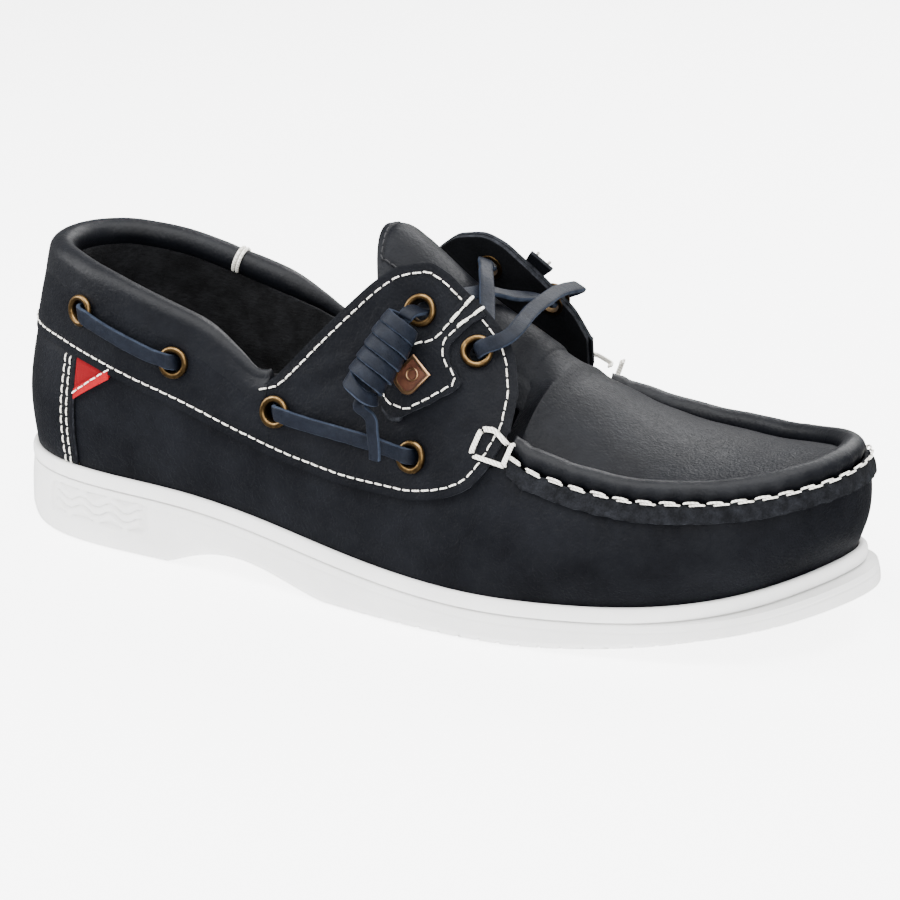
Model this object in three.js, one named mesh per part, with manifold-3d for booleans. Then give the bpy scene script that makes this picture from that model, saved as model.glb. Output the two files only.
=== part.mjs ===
// Low lace-up deck shoe, right foot, as an assembly of separate pieces.
// X runs from heel to toe, +Y is the inner side of the foot, +Z is up. Millimetres.
// The origin is the middle of the footprint on the ground.
import * as THREE from 'three';
import { mergeVertices } from 'three/addons/utils/BufferGeometryUtils.js';
import Module from 'manifold-3d';

const wasm = await Module();
wasm.setup();

// ---------- driving dimensions ----------
const shoeLength = 295.6; // heel to toe along the rim of the sole
const shoeWidth = 106.4; // across the ball of the foot
const instepHeight = 1; // factor on the height of the upper above the sole's rim
const featherInset = 2.7; // rim of the sole to the upper
const cupDepth = 6; // how far the upper sits down inside the sole
const rimBand = 5; // height of the smooth band round the top of the sole
const leather = 1.3; // thickness of one layer of leather
const layerGap = 0.4; // between two layers that lie on each other
const cupGap = 0.6; // between the upper and the inside of the sole's rim
const rollDiameter = 8.3; // padded roll round the opening
const foamThickness = 5; // padding behind the collar
const liningThickness = 1;
const seamRollDiameter = 7.6; // rolled moccasin seam
const seamThread = 1.3; // thread along the moccasin seam
const apronThickness = 1.4;
const tongueThickness = 2.2;
const tongueWidth = 43;
const hingeGap = 0.5; // between the apron and the tongue
const eyeletBore = 6.2;
const eyeletWall = 0.6;
const eyeletFlange = 10.8;
const laceWidth = 5;
const laceThickness = 1.8;
const laceRise = 4.2; // middle of a lace above the leather where it runs outside
const tunnelDepth = 2.4; // middle of the hidden lace below the outer leather
const knotDiameter = 14.4;
const knotLength = 23;
const knotTurns = 5;
const knotGap = 0.4; // between a knot and the lace at its two ends
const knotLean = 0.13; // slope of a knot away from the flap it hangs on
const tailDrop = 20; // how far a lace end hangs below its knot
const headTaper = 0.42; // share of the first turn that a knot's head tapers over
const boardThickness = 1.8;
const fillerThickness = 2;
const footbedThickness = 4.5;
const shankLength = 96;
const shankWidth = 13;
const shankThickness = 1.5;
const toeSpring = 15.5; // lift of the sole under the tip of the toe
const toeLip = 5; // how far the sole stands out in front of its rim at the toe
const archLift = 6.8; // lift of the sole in front of the heel block
const badgeSize = 11;
const badgeThickness = 1;

// ---------- the last: cross-sections from heel to toe ----------
// x, outer and inner edge of the rim, height of the rim, height of the last above the ground,
// then how far the upper stands out from the rim (+) or leans in (-) at four heights, per side.
const sections = [
  [0, 0, 0, 26.8, 104, [-1.2, -3.6, -7.4, -12], [-1.2, -3.6, -7.4, -12]],
  [6.5, -19, 19, 26.8, 104, [-1, -3.6, -7, -11.5], [-1, -3.6, -7, -11.5]],
  [24, -31.3, 31.5, 26.8, 104, [-1, -4.2, -7, -10.2], [-0.8, -3.8, -6.5, -10]],
  [47, -36.3, 36, 26.5, 104, [-1.6, -2.8, -5.3, -9], [-1, -2, -5, -9]],
  [74, -39, 34.8, 25.7, 100, [-2, -4.2, -7.3, -11], [0, -0.4, -2.3, -6.5]],
  [102, -43, 31.8, 23, 100, [-3.3, -6, -11, -16], [1.2, 1.8, 0.8, -3.5]],
  [130, -49, 31.3, 19.6, 108, [-5.4, -10.2, -16, -22.5], [0.8, 0.8, -2.2, -8]],
  [159, -54.5, 37, 16.8, 114, [-6.2, -12.6, -23, -33.5], [-1, -4, -11, -18.5]],
  [188, -56.8, 45.6, 15.5, 100, [-3.6, -10, -23, -37], [-2.2, -7.6, -16.5, -27]],
  [216, -54.1, 49.8, 15.8, 72, [0, -4, -12, -24], [0, -4.2, -12, -24]],
  [243, -49, 47, 17.8, 66, [0.2, -2, -8.5, -20], [0.2, -2.4, -9, -21]],
  [268, -37.5, 36.5, 21.5, 66, [0.6, -0.4, -4.8, -15], [0.4, -0.8, -5.4, -15]],
  [286.5, -19, 21, 26, 68, [1.4, 2, -0.6, -10], [1.2, 1.6, -1, -10.5]],
  [295.6, 3, 3, 28.6, 68, [0.4, 0.6, -2.2, -12], [0.4, 0.6, -2.2, -12]],
];
const halfCount = sections.length - 1; // stations from heel to toe on one side
const stationCount = 2 * halfCount; // round the whole shoe; 0 is the heel, halfCount the toe
const lengthScale = shoeLength / 295.6;
const widthScale = shoeWidth / 106.4;

// Lines on the upper, as [x, z] pairs from heel to front on each side of the foot.
const seamLine = { // lower edge of the quarter overlay
  heel: 68,
  outer: [[19, 66.5], [36, 63.8], [53, 59.5], [72, 54.5], [95, 48.3], [118, 43.4], [141, 41],
    [158, 41], [171, 43.2], [182, 48], [188, 55], [192.6, 66]],
  inner: [[19, 66.5], [36, 63.8], [53, 59.5], [72, 54.5], [95, 48.3], [118, 43.4], [138, 41],
    [154, 41], [167, 43.2], [178, 48], [184, 55], [188.5, 65]],
};
const flapLine = { // upper edge of the overlay: below the collar roll, then round the lace flap
  heel: 90.3,
  outer: [[19, 89.6], [36, 87], [53, 83], [72, 77.5], [90, 71.5], [100, 68.5], [106, 69.5],
    [112, 75], [120, 84], [133, 98], [140, 105], [147, 110], [156, 112], [163, 109.5],
    [171, 103.5], [180, 96.5], [188, 87.5], [192.6, 76]],
  inner: [[19, 89.6], [36, 87], [53, 83], [72, 77.5], [90, 71.5], [100, 68.5], [106, 69.5],
    [112, 75], [120, 83.5], [132, 96], [139, 102.5], [146, 107], [154, 108.5], [161, 106.5],
    [168, 101], [176, 93.5], [184, 84.5], [188.5, 74]],
};
const wrapLine = { // upper edge of the vamp: under the overlay, then the moccasin seam
  heel: 74,
  outer: [[19, 72.5], [36, 69.8], [53, 65.5], [72, 60.5], [95, 54.3], [118, 49.4], [141, 47],
    [158, 47], [171, 49.2], [182, 53], [192, 56.5], [200, 56]],
  inner: [[19, 72.5], [36, 69.8], [53, 65.5], [72, 60.5], [95, 54.3], [118, 49.4], [138, 47],
    [154, 47], [167, 49.2], [178, 52], [190, 54.5], [200, 54]],
};
// Moccasin seam: x, then its height on the outer and on the inner side; last over the toe.
const seamRing = [[200, 56, 54], [212, 53.2, 51.5], [225, 51.3, 49.5], [243, 50.4, 48.6],
  [258, 51, 49.3], [270, 52.4, 51], [281, 54.3, 53.4], [289, 55.8, 55.4]];
const seamRingToe = 57;

// ---------- small mathematics ----------
const V = (x, y, z) => new THREE.Vector3(x, y, z);
const clamp01 = (t) => Math.min(1, Math.max(0, t));
const smooth = (t) => clamp01(t) ** 2 * (3 - 2 * clamp01(t));
const mix = (a, b, t) => a + (b - a) * t;

// Second derivatives of a smooth cubic curve through evenly numbered values.
function bends(values, closed) {
  const n = values.length;
  const m = values.map(() => 0);
  for (let pass = 0; pass < 60; pass++) {
    for (let i = closed ? 0 : 1; i < (closed ? n : n - 1); i++) {
      const before = (i + n - 1) % n;
      const after = (i + 1) % n;
      m[i] = (6 * (values[after] - 2 * values[i] + values[before]) - m[before] - m[after]) / 4;
    }
  }
  return m;
}

function cubicAt(values, m, t, closed) {
  const n = values.length;
  const i = closed ? Math.floor(t) : Math.min(n - 2, Math.max(0, Math.floor(t)));
  const f = t - i;
  const a = ((i % n) + n) % n;
  const b = (a + 1) % n;
  const g = 1 - f;
  return values[a] * g + values[b] * f + ((g ** 3 - g) * m[a] + (f ** 3 - f) * m[b]) / 6;
}

function ringSpline(values) {
  const m = bends(values, true);
  return (u) => cubicAt(values, m, u, true);
}

// Smooth curve y(x) through hand-placed points that never overshoots them.
function curveThrough(points) {
  const p = [...points].sort((a, b) => a[0] - b[0]);
  const slope = p.slice(1).map((q, i) => (q[1] - p[i][1]) / (q[0] - p[i][0]));
  const tangent = p.map((_, i) => {
    if (i === 0) return slope[0];
    if (i === p.length - 1) return slope[i - 1];
    const [a, b] = [slope[i - 1], slope[i]];
    return a * b <= 0 ? 0 : (2 * a * b) / (a + b);
  });
  return (x) => {
    let i = 0;
    while (i < p.length - 2 && x > p[i + 1][0]) i++;
    const h = p[i + 1][0] - p[i][0];
    const t = clamp01((x - p[i][0]) / h);
    const [a, b] = [p[i][1], p[i + 1][1]];
    const cubic = (2 * t ** 3 - 3 * t ** 2 + 1) * a + (3 * t ** 2 - 2 * t ** 3) * b;
    return cubic + h * ((t ** 3 - 2 * t ** 2 + t) * tangent[i] + (t ** 3 - t ** 2) * tangent[i + 1]);
  };
}

// ---------- the last as a surface ----------
const around = (pick) => ringSpline(Array.from({ length: stationCount }, (_, i) => {
  const inner = i > halfCount;
  return pick(sections[inner ? stationCount - i : i], inner);
}));
const rimX = around((s) => s[0] * lengthScale);
const rimY = around((s, inner) => s[inner ? 2 : 1] * widthScale);
const rimHeight = around((s) => s[3]);
const lastHeight = around((s) => s[3] + (s[4] - s[3]) * instepHeight);
const leans = [0, 1, 2, 3].map((k) => around((s, inner) => s[inner ? 6 : 5][k]));

// A point beside the rim of the sole, moved outwards by `out`, at height z.
function rimPoint(u, out, z) {
  const step = 0.02;
  const tangentX = rimX(u + step) - rimX(u - step);
  const tangentY = rimY(u + step) - rimY(u - step);
  const length = Math.hypot(tangentX, tangentY);
  return V(rimX(u) + (out * tangentY) / length, rimY(u) - (out * tangentX) / length, z);
}

// A point of the upper's surface: u round the shoe, v from the rim (0) to the last's top (1).
function lastPoint(u, v) {
  const offsets = [-featherInset, ...leans.map((lean) => lean(u))];
  const up = Math.max(0, v);
  const out = cubicAt(offsets, bends(offsets, false), up * 4, false);
  return rimPoint(u, out, mix(rimHeight(u), lastHeight(u), v));
}

function lastNormal(u, v) {
  const du = lastPoint(u + 0.03, v).sub(lastPoint(u - 0.03, v));
  const dv = lastPoint(u, v + 0.012).sub(lastPoint(u, v - 0.012));
  return du.cross(dv).normalize();
}

const upperPoint = (u, v, out) => lastPoint(u, v).addScaledVector(lastNormal(u, v), out);
const heightToV = (u, z) => (z - rimHeight(u)) / (lastHeight(u) - rimHeight(u));

// Station and height share of the surface point with this x and z, in the base size's terms.
function locate([x, z], side) {
  const next = sections.findIndex((section) => section[0] > x);
  const [before, after] = [sections[next - 1][0], sections[next][0]];
  const start = next - 1 + (x - before) / (after - before);
  const direction = side === 'outer' ? 1 : -1;
  let u = side === 'outer' ? start : stationCount - start;
  let v = 0.5;
  for (let pass = 0; pass < 12; pass++) {
    const raised = rimHeight(u) + (z - rimHeight(u)) * instepHeight;
    v = heightToV(u, raised);
    const error = x * lengthScale - lastPoint(u, v).x;
    const slope = (lastPoint(u + 0.05, v).x - lastPoint(u - 0.05, v).x) / 0.1;
    u += THREE.MathUtils.clamp(error / (slope || direction), -0.5, 0.5);
  }
  return [u, v];
}

// Lines of the upper as functions v(u); heel-centred lines run from -u (inner) to +u (outer).
function heelLine(line) {
  const points = [[0, heightToV(0, rimHeight(0) + (line.heel - rimHeight(0)) * instepHeight)]];
  for (const spot of line.outer) points.push(locate(spot, 'outer'));
  for (const spot of line.inner) {
    const [u, v] = locate(spot, 'inner');
    points.push([u - stationCount, v]);
  }
  return curveThrough(points);
}

const seamV = heelLine(seamLine);
const flapV = heelLine(flapLine);
const wrapHeelV = heelLine(wrapLine);
const toeSpot = heightToV(halfCount, rimHeight(halfCount)
  + (seamRingToe - rimHeight(halfCount)) * instepHeight);
const ringV = curveThrough([[halfCount, toeSpot],
  ...seamRing.map(([x, z]) => locate([x, z], 'outer')),
  ...seamRing.map(([x, , z]) => locate([x, z], 'inner'))]);
const outerU = (x, z) => locate([x, z], 'outer')[0];
const innerU = (x, z) => locate([x, z], 'inner')[0] - stationCount;

// ---------- building closed bodies ----------
// A closed body from points and triangles, turned so that its faces point out.
function geometryFrom(points, faces) {
  const volume = faces.reduce((sum, [a, b, c]) => (
    sum + points[a].dot(points[b].clone().cross(points[c]))), 0);
  const outward = volume > 0 ? faces : faces.map(([a, b, c]) => [a, c, b]);
  const geometry = new THREE.BufferGeometry();
  geometry.setAttribute('position', new THREE.Float32BufferAttribute(
    points.flatMap((p) => [p.x, p.y, p.z]), 3));
  geometry.setIndex(outward.flat());
  return geometry;
}

function toSolid(geometry) {
  const bare = new THREE.BufferGeometry();
  bare.setAttribute('position', geometry.getAttribute('position').clone());
  bare.setIndex(geometry.index ? [...geometry.index.array] : null);
  const merged = mergeVertices(bare, 1e-4);
  return new wasm.Manifold(new wasm.Mesh({
    numProp: 3,
    vertProperties: new Float32Array(merged.getAttribute('position').array),
    triVerts: new Uint32Array(merged.index.array),
  }));
}

function fromSolid(solid) {
  const mesh = solid.getMesh();
  const geometry = new THREE.BufferGeometry();
  geometry.setAttribute('position', new THREE.Float32BufferAttribute(mesh.vertProperties, 3));
  geometry.setIndex([...mesh.triVerts]);
  return geometry;
}

const cut = (geometry, tools) => fromSolid(
  tools.reduce((solid, tool) => solid.subtract(toSolid(tool)), toSolid(geometry)));

// A plate between two grids of points that face outwards and inwards.
function plate(outerGrid, innerGrid) {
  const rows = outerGrid.length;
  const columns = outerGrid[0].length;
  const points = [...outerGrid.flat(), ...innerGrid.flat()];
  const inner = rows * columns;
  const at = (r, c) => r * columns + c;
  const faces = [];
  const quad = (a, b, c, d) => faces.push([a, b, c], [a, c, d]);
  for (let r = 0; r < rows - 1; r++) {
    for (let c = 0; c < columns - 1; c++) {
      quad(at(r, c), at(r, c + 1), at(r + 1, c + 1), at(r + 1, c));
      quad(inner + at(r, c), inner + at(r + 1, c), inner + at(r + 1, c + 1), inner + at(r, c + 1));
    }
    quad(at(r, 0), at(r + 1, 0), inner + at(r + 1, 0), inner + at(r, 0));
    const last = columns - 1;
    quad(at(r, last), inner + at(r, last), inner + at(r + 1, last), at(r + 1, last));
  }
  for (let c = 0; c < columns - 1; c++) {
    const top = rows - 1;
    quad(at(0, c), inner + at(0, c), inner + at(0, c + 1), at(0, c + 1));
    quad(at(top, c), at(top, c + 1), inner + at(top, c + 1), inner + at(top, c));
  }
  return geometryFrom(points, faces);
}

// Stations that every layer shares, so that layers stay parallel facet by facet.
// They lie closer together where the lace flaps bend.
const stationStep = 1 / 4;
const flapZone = [5, 8.6];
function stationsBetween(from, to) {
  const list = [from];
  for (let k = Math.ceil(from / stationStep); k * stationStep < to; k++) {
    const u = k * stationStep;
    const folded = Math.abs(u > halfCount ? u - stationCount : u);
    const wanted = k % 2 === 0 || (folded > flapZone[0] && folded < flapZone[1]);
    if (wanted && u - from > stationStep / 3 && to - u > stationStep / 3) list.push(u);
  }
  return [...list, to];
}

// A leather piece on the last between two lines, from offset `inside` to offset `outside`.
function upperPiece({ from, to, low, high, rows, inside, outside }) {
  const stations = stationsBetween(from, to);
  const heightAt = (u, r) => {
    if (low(u) >= 0) return mix(low(u), high(u), r / rows);
    return r === 0 ? low(u) : mix(0, high(u), (r - 1) / (rows - 1)); // one row lies at the rim
  };
  const grid = (offset) => Array.from({ length: rows + 1 }, (_, r) => stations.map((u) => {
    const v = heightAt(u, r);
    const out = typeof offset === 'function' ? offset(u, v) : offset;
    return upperPoint(u, v, out);
  }));
  return plate(grid(outside), grid(inside));
}

// A rounded bar through a list of centre points; `across` gives the width direction.
function strip(centres, across, width, thickness, sides = 6) {
  const rings = centres.map((centre, i) => {
    const ahead = centres[Math.min(i + 1, centres.length - 1)];
    const behind = centres[Math.max(i - 1, 0)];
    const along = ahead.clone().sub(behind).normalize();
    const wide = across(i).clone();
    wide.addScaledVector(along, -wide.dot(along)).normalize();
    const thick = along.clone().cross(wide);
    return Array.from({ length: sides }, (_, k) => {
      const angle = (2 * Math.PI * (k + 0.5)) / sides;
      const squareness = 1 / Math.cos(Math.PI / sides);
      return centre.clone()
        .addScaledVector(wide, (width / 2) * THREE.MathUtils.clamp(Math.cos(angle) * squareness, -1, 1))
        .addScaledVector(thick, (thickness / 2) * THREE.MathUtils.clamp(Math.sin(angle) * squareness, -1, 1));
    });
  });
  return loft(rings, false);
}

// A body through rings of points; the ends are closed by fans, or the rings meet in a circle.
function loft(rings, closed) {
  const sides = rings[0].length;
  const points = rings.flat();
  const faces = [];
  const spans = closed ? rings.length : rings.length - 1;
  for (let i = 0; i < spans; i++) {
    const next = (i + 1) % rings.length;
    for (let k = 0; k < sides; k++) {
      const [a, b] = [i * sides + k, i * sides + ((k + 1) % sides)];
      const [c, d] = [next * sides + ((k + 1) % sides), next * sides + k];
      faces.push([a, b, c], [a, c, d]);
    }
  }
  if (!closed) {
    const middle = (ring) => ring.reduce((sum, p) => sum.add(p), V(0, 0, 0)).divideScalar(sides);
    points.push(middle(rings[0]), middle(rings[rings.length - 1]));
    const start = points.length - 2;
    const base = (rings.length - 1) * sides;
    for (let k = 0; k < sides; k++) {
      faces.push([start, (k + 1) % sides, k]);
      faces.push([start + 1, base + k, base + ((k + 1) % sides)]);
    }
  }
  return geometryFrom(points, faces);
}

// A flat-ended stack of outlines round the foot, closed across by ribs from side to side.
const outlineSteps = 52;
function outlineStack(levels) {
  const ring = (level) => Array.from({ length: outlineSteps }, (_, k) => {
    const u = (k * stationCount) / outlineSteps;
    return rimPoint(u, level.out(u), level.z(u));
  });
  const rings = levels.map(ring);
  const points = rings.flat();
  const faces = [];
  for (let i = 0; i < rings.length - 1; i++) {
    for (let k = 0; k < outlineSteps; k++) {
      const next = (k + 1) % outlineSteps;
      const [a, b] = [i * outlineSteps + k, i * outlineSteps + next];
      faces.push([a, b, b + outlineSteps], [a, b + outlineSteps, a + outlineSteps]);
    }
  }
  const rib = (base, flip) => {
    for (let k = 0; k < outlineSteps / 2; k++) {
      const far = (index) => base + ((outlineSteps - index) % outlineSteps);
      const corners = [base + k, base + k + 1, far(k + 1), far(k)];
      const pairs = [[corners[0], corners[1], corners[2]], [corners[0], corners[2], corners[3]]];
      for (const [a, b, c] of pairs) {
        if (a !== b && b !== c && a !== c) faces.push(flip ? [a, c, b] : [a, b, c]);
      }
    }
  };
  rib(0, true);
  rib((rings.length - 1) * outlineSteps, false);
  return geometryFrom(points, faces);
}

// ---------- the object ----------
const group = new THREE.Group();
const colours = {
  rubber: ['#e9e9e7', 0.55, 0],
  navyLeather: ['#171a22', 0.42, 0],
  darkLeather: ['#14161c', 0.6, 0],
  nap: ['#1c1d22', 0.95, 0],
  thread: ['#e8e4da', 0.7, 0],
  lace: ['#1b2435', 0.65, 0],
  brass: ['#8a6a3c', 0.35, 0.9],
  red: ['#b3202c', 0.8, 0],
  foam: ['#3a3a3c', 0.95, 0],
  board: ['#a58b67', 0.9, 0],
  cork: ['#9b7448', 0.95, 0],
  steel: ['#8f9398', 0.4, 0.9],
  plastic: ['#4a4d52', 0.7, 0],
};

function add(name, geometry, colour) {
  const [color, roughness, metalness] = colours[colour];
  const mesh = new THREE.Mesh(geometry, new THREE.MeshStandardMaterial({ color, roughness, metalness }));
  mesh.name = name;
  group.add(mesh);
}

// Height of the bottom of the sole: flat, lifted in front of the heel block and at the toe.
const heelBreast = 66 * lengthScale;
const archEnd = 130 * lengthScale;
const springStart = 200 * lengthScale;
const soleEnd = shoeLength + toeLip;
function groundLine(x) {
  const spring = Math.max(0, (x - springStart) / (soleEnd - springStart)) ** 1.5 * toeSpring;
  const share = clamp01((x - heelBreast) / (archEnd - heelBreast));
  return spring + archLift * Math.sin(Math.PI * share ** 0.8) ** 1.4;
}

// ---------- sole unit ----------
const toeBulge = (u) => mix(0.8, toeLip, smooth((rimX(u) / shoeLength - 0.78) / 0.2));
function outsole() {
  const ground = (u) => groundLine(rimX(u));
  const cupFloor = (u) => rimHeight(u) - cupDepth;
  return outlineStack([
    { out: () => -7, z: ground },
    { out: () => -1.6, z: (u) => ground(u) + 0.5 },
    { out: (u) => toeBulge(u), z: (u) => ground(u) + 3.6 },
    { out: (u) => toeBulge(u) * 0.8, z: (u) => mix(ground(u) + 3.6, rimHeight(u) - rimBand, 0.6) },
    { out: () => 0.1, z: (u) => rimHeight(u) - rimBand - 0.7 },
    { out: () => -0.9, z: (u) => rimHeight(u) - rimBand },
    { out: () => 0, z: (u) => rimHeight(u) - rimBand + 0.9 },
    { out: () => 0, z: (u) => rimHeight(u) - 0.8 },
    { out: () => -0.7, z: (u) => rimHeight(u) },
    { out: () => cupGap - featherInset, z: (u) => rimHeight(u) },
    { out: () => cupGap - featherInset, z: cupFloor },
  ]);
}

// Flat bed that follows the cup: inset from the rim, between two heights above the cup's floor.
function bed(inset, bottom, top) {
  const floor = (u) => rimHeight(u) - cupDepth;
  return outlineStack([
    { out: () => -inset, z: (u) => floor(u) + bottom },
    { out: () => -inset, z: (u) => floor(u) + top },
  ]);
}

const boardInset = featherInset + leather + layerGap + 0.6;
const footbedInset = boardInset + liningThickness + 1.2;
const fillerBottom = layerGap;
const boardBottom = fillerBottom + fillerThickness + layerGap;
const footbedBottom = boardBottom + boardThickness + layerGap;
const shankStart = 70 * lengthScale;

function shankBar(grow) {
  const steps = 8;
  const line = Array.from({ length: steps + 1 }, (_, i) => {
    const x = shankStart - grow + (i / steps) * (shankLength + 2 * grow);
    return V(x, -3, floorAt(x) + fillerBottom + shankThickness / 2 + 0.15);
  });
  const height = shankThickness + (grow ? 12 : 0);
  return strip(line, () => V(0, 1, 0), shankWidth + 2 * grow, height);
}

// Height of the cup's floor at a distance from the heel.
function floorAt(x) {
  const spots = Array.from({ length: 40 }, (_, i) => (i * halfCount) / 39);
  const curve = curveThrough(spots.map((u) => [rimX(u), rimHeight(u) - cupDepth]));
  return curve(x);
}

add('outsole', outsole(), 'rubber');
const filler = bed(boardInset, fillerBottom, fillerBottom + fillerThickness);
add('cork_filler', cut(filler, [shankBar(0.6)]), 'cork');
add('shank', shankBar(0), 'steel');
add('insole_board', bed(boardInset, boardBottom, boardBottom + boardThickness), 'board');
add('footbed', bed(footbedInset, footbedBottom, footbedBottom + footbedThickness), 'darkLeather');

// ---------- upper: wrap, counter and stiffeners ----------
const counterU = outerU(30, 50); // the counter's front edge on both sides
const flapEnd = outerU(192.6, 71);
const flapEndInner = innerU(188.5, 69.5);
const dip = (u) => -(cupDepth - layerGap) / (lastHeight(u) - rimHeight(u));
const vOf = (u, height) => height / (lastHeight(u) - rimHeight(u));
const overlayInside = layerGap;
const overlayOutside = layerGap + leather;
const liningOutside = -leather - layerGap;
const foldEnd = outerU(200, 56);
const wrapV = (u) => {
  const w = u > halfCount ? u - stationCount : u;
  return Math.abs(w) < foldEnd ? wrapHeelV(w) : ringV(u);
};

add('vamp', upperPiece({
  from: counterU, to: stationCount - counterU, low: dip, high: wrapV,
  rows: 5, inside: -leather, outside: 0,
}), 'navyLeather');
add('heel_stiffener', upperPiece({
  from: -counterU + 0.06, to: counterU - 0.06, low: dip, high: wrapHeelV,
  rows: 6, inside: -leather, outside: 0,
}), 'plastic');
add('heel_counter', upperPiece({
  from: -counterU, to: counterU, low: (u) => vOf(u, layerGap), high: (u) => seamV(u) - vOf(u, layerGap),
  rows: 5, inside: overlayInside, outside: overlayOutside,
}), 'navyLeather');
add('toe_puff', upperPiece({
  from: halfCount - 1.6, to: halfCount + 1.6, low: (u) => vOf(u, 3), high: (u) => ringV(u) - vOf(u, 9),
  rows: 3, inside: liningOutside - 0.9, outside: liningOutside,
}), 'plastic');

// ---------- lining and collar padding ----------
const collarFront = outerU(104, 72);
const liningFront = outerU(112, 60);
function liningDepth(u, v) {
  const start = seamV(u) - vOf(u, 16);
  const padded = smooth((v - start) / vOf(u, 18));
  return mix(liningOutside, -foamThickness - layerGap, padded);
}
const liningTop = (u) => Math.min(flapV(u), flapV(Math.sign(u) * Math.min(Math.abs(u), collarFront)));
add('quarter_lining', upperPiece({
  from: -liningFront, to: liningFront, low: (u) => vOf(u, -0.9), high: liningTop, rows: 6,
  inside: (u, v) => liningDepth(u, v) - liningThickness, outside: liningDepth,
}), 'nap');

// ---------- eyelets ----------
const eyeletSpots = { // x and z on each side; `thick` ones go through flap and flap lining
  rear: [32.8, 80.5],
  middle: [69.7, 69.5],
  low_rear: [109, 59.5],
  low_front: [161.4, 54.5],
  flap_lower: [177, 87.2],
  flap_upper: [156.5, 97.6],
};
const throughFlap = ['low_front', 'flap_lower', 'flap_upper'];
const eyelets = [];
for (const side of ['outer', 'inner']) {
  for (const [spot, place] of Object.entries(eyeletSpots)) {
    const [u, v] = locate(place, side);
    const heelU = side === 'outer' ? u : u - stationCount;
    eyelets.push({ name: `eyelet_${side}_${spot}`, side, spot, u: heelU, v,
      back: throughFlap.includes(spot) ? -leather : overlayInside });
  }
}

function eyeletRing(back) {
  const bore = eyeletBore / 2;
  const barrel = bore + eyeletWall;
  const flange = eyeletFlange / 2;
  const front = overlayOutside + 0.3;
  const rear = back - 0.3;
  const profile = [
    [bore, rear - 0.6], [bore, front + 0.5], [barrel + 0.3, front + 1], [flange, front + 0.4],
    [flange - 0.1, front], [barrel, front - 0.1], [barrel, rear], [barrel + 0.8, rear - 0.6],
  ];
  profile.push(profile[0]);
  return new THREE.LatheGeometry(profile.reverse().map(([r, h]) => new THREE.Vector2(r, h)), 12);
}

// Turns a body made along +Y so that it stands on the upper at (u, v), +Y pointing out.
function standOnUpper(geometry, u, v, out = 0) {
  const turn = new THREE.Quaternion().setFromUnitVectors(V(0, 1, 0), lastNormal(u, v));
  const place = upperPoint(u, v, out);
  return geometry.applyQuaternion(turn).translate(place.x, place.y, place.z);
}

const holeRadius = eyeletBore / 2 + eyeletWall + 0.35;
const holeTool = (e) => standOnUpper(new THREE.CylinderGeometry(holeRadius, holeRadius, 9, 16), e.u, e.v);
const pocketTool = (e) => standOnUpper(new THREE.CylinderGeometry(5.2, 5.2, 7, 14), e.u, e.v);
const holesFor = (from, to, spots) => eyelets
  .filter((e) => e.u > from && e.u < to && spots.includes(e.spot)).map(holeTool);
const everySpot = Object.keys(eyeletSpots);

// ---------- quarter overlay with its lace flaps ----------
const jointU = innerU(61, 80); // the overlay's two parts meet here on the inner side
const jointGap = 0.02;
function overlay(from, to) {
  const sheet = upperPiece({
    from, to, low: seamV, high: flapV, rows: 6, inside: overlayInside, outside: overlayOutside,
  });
  return cut(sheet, holesFor(from, to, everySpot));
}
add('quarter_overlay_outer', overlay(jointU + jointGap, flapEnd), 'navyLeather');
add('quarter_overlay_inner', overlay(flapEndInner, jointU - jointGap), 'navyLeather');

const flapSlack = 0.1; // the flap's lining hangs this much looser than the vamp
for (const side of ['outer', 'inner']) {
  const [from, to] = side === 'outer'
    ? [outerU(124, 60), flapEnd - 0.05]
    : [flapEndInner + 0.05, innerU(124, 60)];
  const sheet = upperPiece({
    from, to, low: (u) => wrapHeelV(u) + vOf(u, 0.6), high: (u) => flapV(u) - vOf(u, 0.6),
    rows: 6, inside: -leather - flapSlack, outside: -flapSlack,
  });
  add(`flap_lining_${side}`, cut(sheet, holesFor(from, to, throughFlap)), 'darkLeather');
}

// ---------- saddle patches on the flaps ----------
const patchRear = [[170.3, 103.2], [165, 95.6], [160.5, 89.8], [154, 87.6], [148.5, 83], [146, 76],
  [148, 69]];
const patchFront = [[177.3, 97.5], [171.8, 92.6], [168.4, 87.6], [169.6, 83], [174.5, 77.6],
  [167.5, 72], [157, 66]];
const patchOutside = overlayOutside + layerGap + leather;
function saddlePatch(side) {
  const shift = side === 'outer' ? 0 : stationCount;
  const edge = (spots) => {
    const places = spots.map((spot) => locate(spot, side));
    return [0, 1].map((k) => curveThrough(places.map((p, i) => [i, p[k] - (k ? 0 : shift)])));
  };
  const [rear, front] = [edge(patchRear), edge(patchFront)];
  const rows = 12;
  const grid = (out) => Array.from({ length: rows + 1 }, (_, r) => {
    const t = ((patchRear.length - 1) * (rows - r)) / rows;
    return [0, 0.25, 0.5, 0.75, 1].map((c) => {
      const ends = side === 'outer' ? [rear, front] : [front, rear];
      const [u, v] = [0, 1].map((k) => mix(ends[0][k](t), ends[1][k](t), c));
      return upperPoint(u, v, out);
    });
  });
  return plate(grid(patchOutside), grid(patchOutside - leather));
}
add('saddle_patch_outer', saddlePatch('outer'), 'navyLeather');
add('saddle_patch_inner', saddlePatch('inner'), 'navyLeather');

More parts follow.
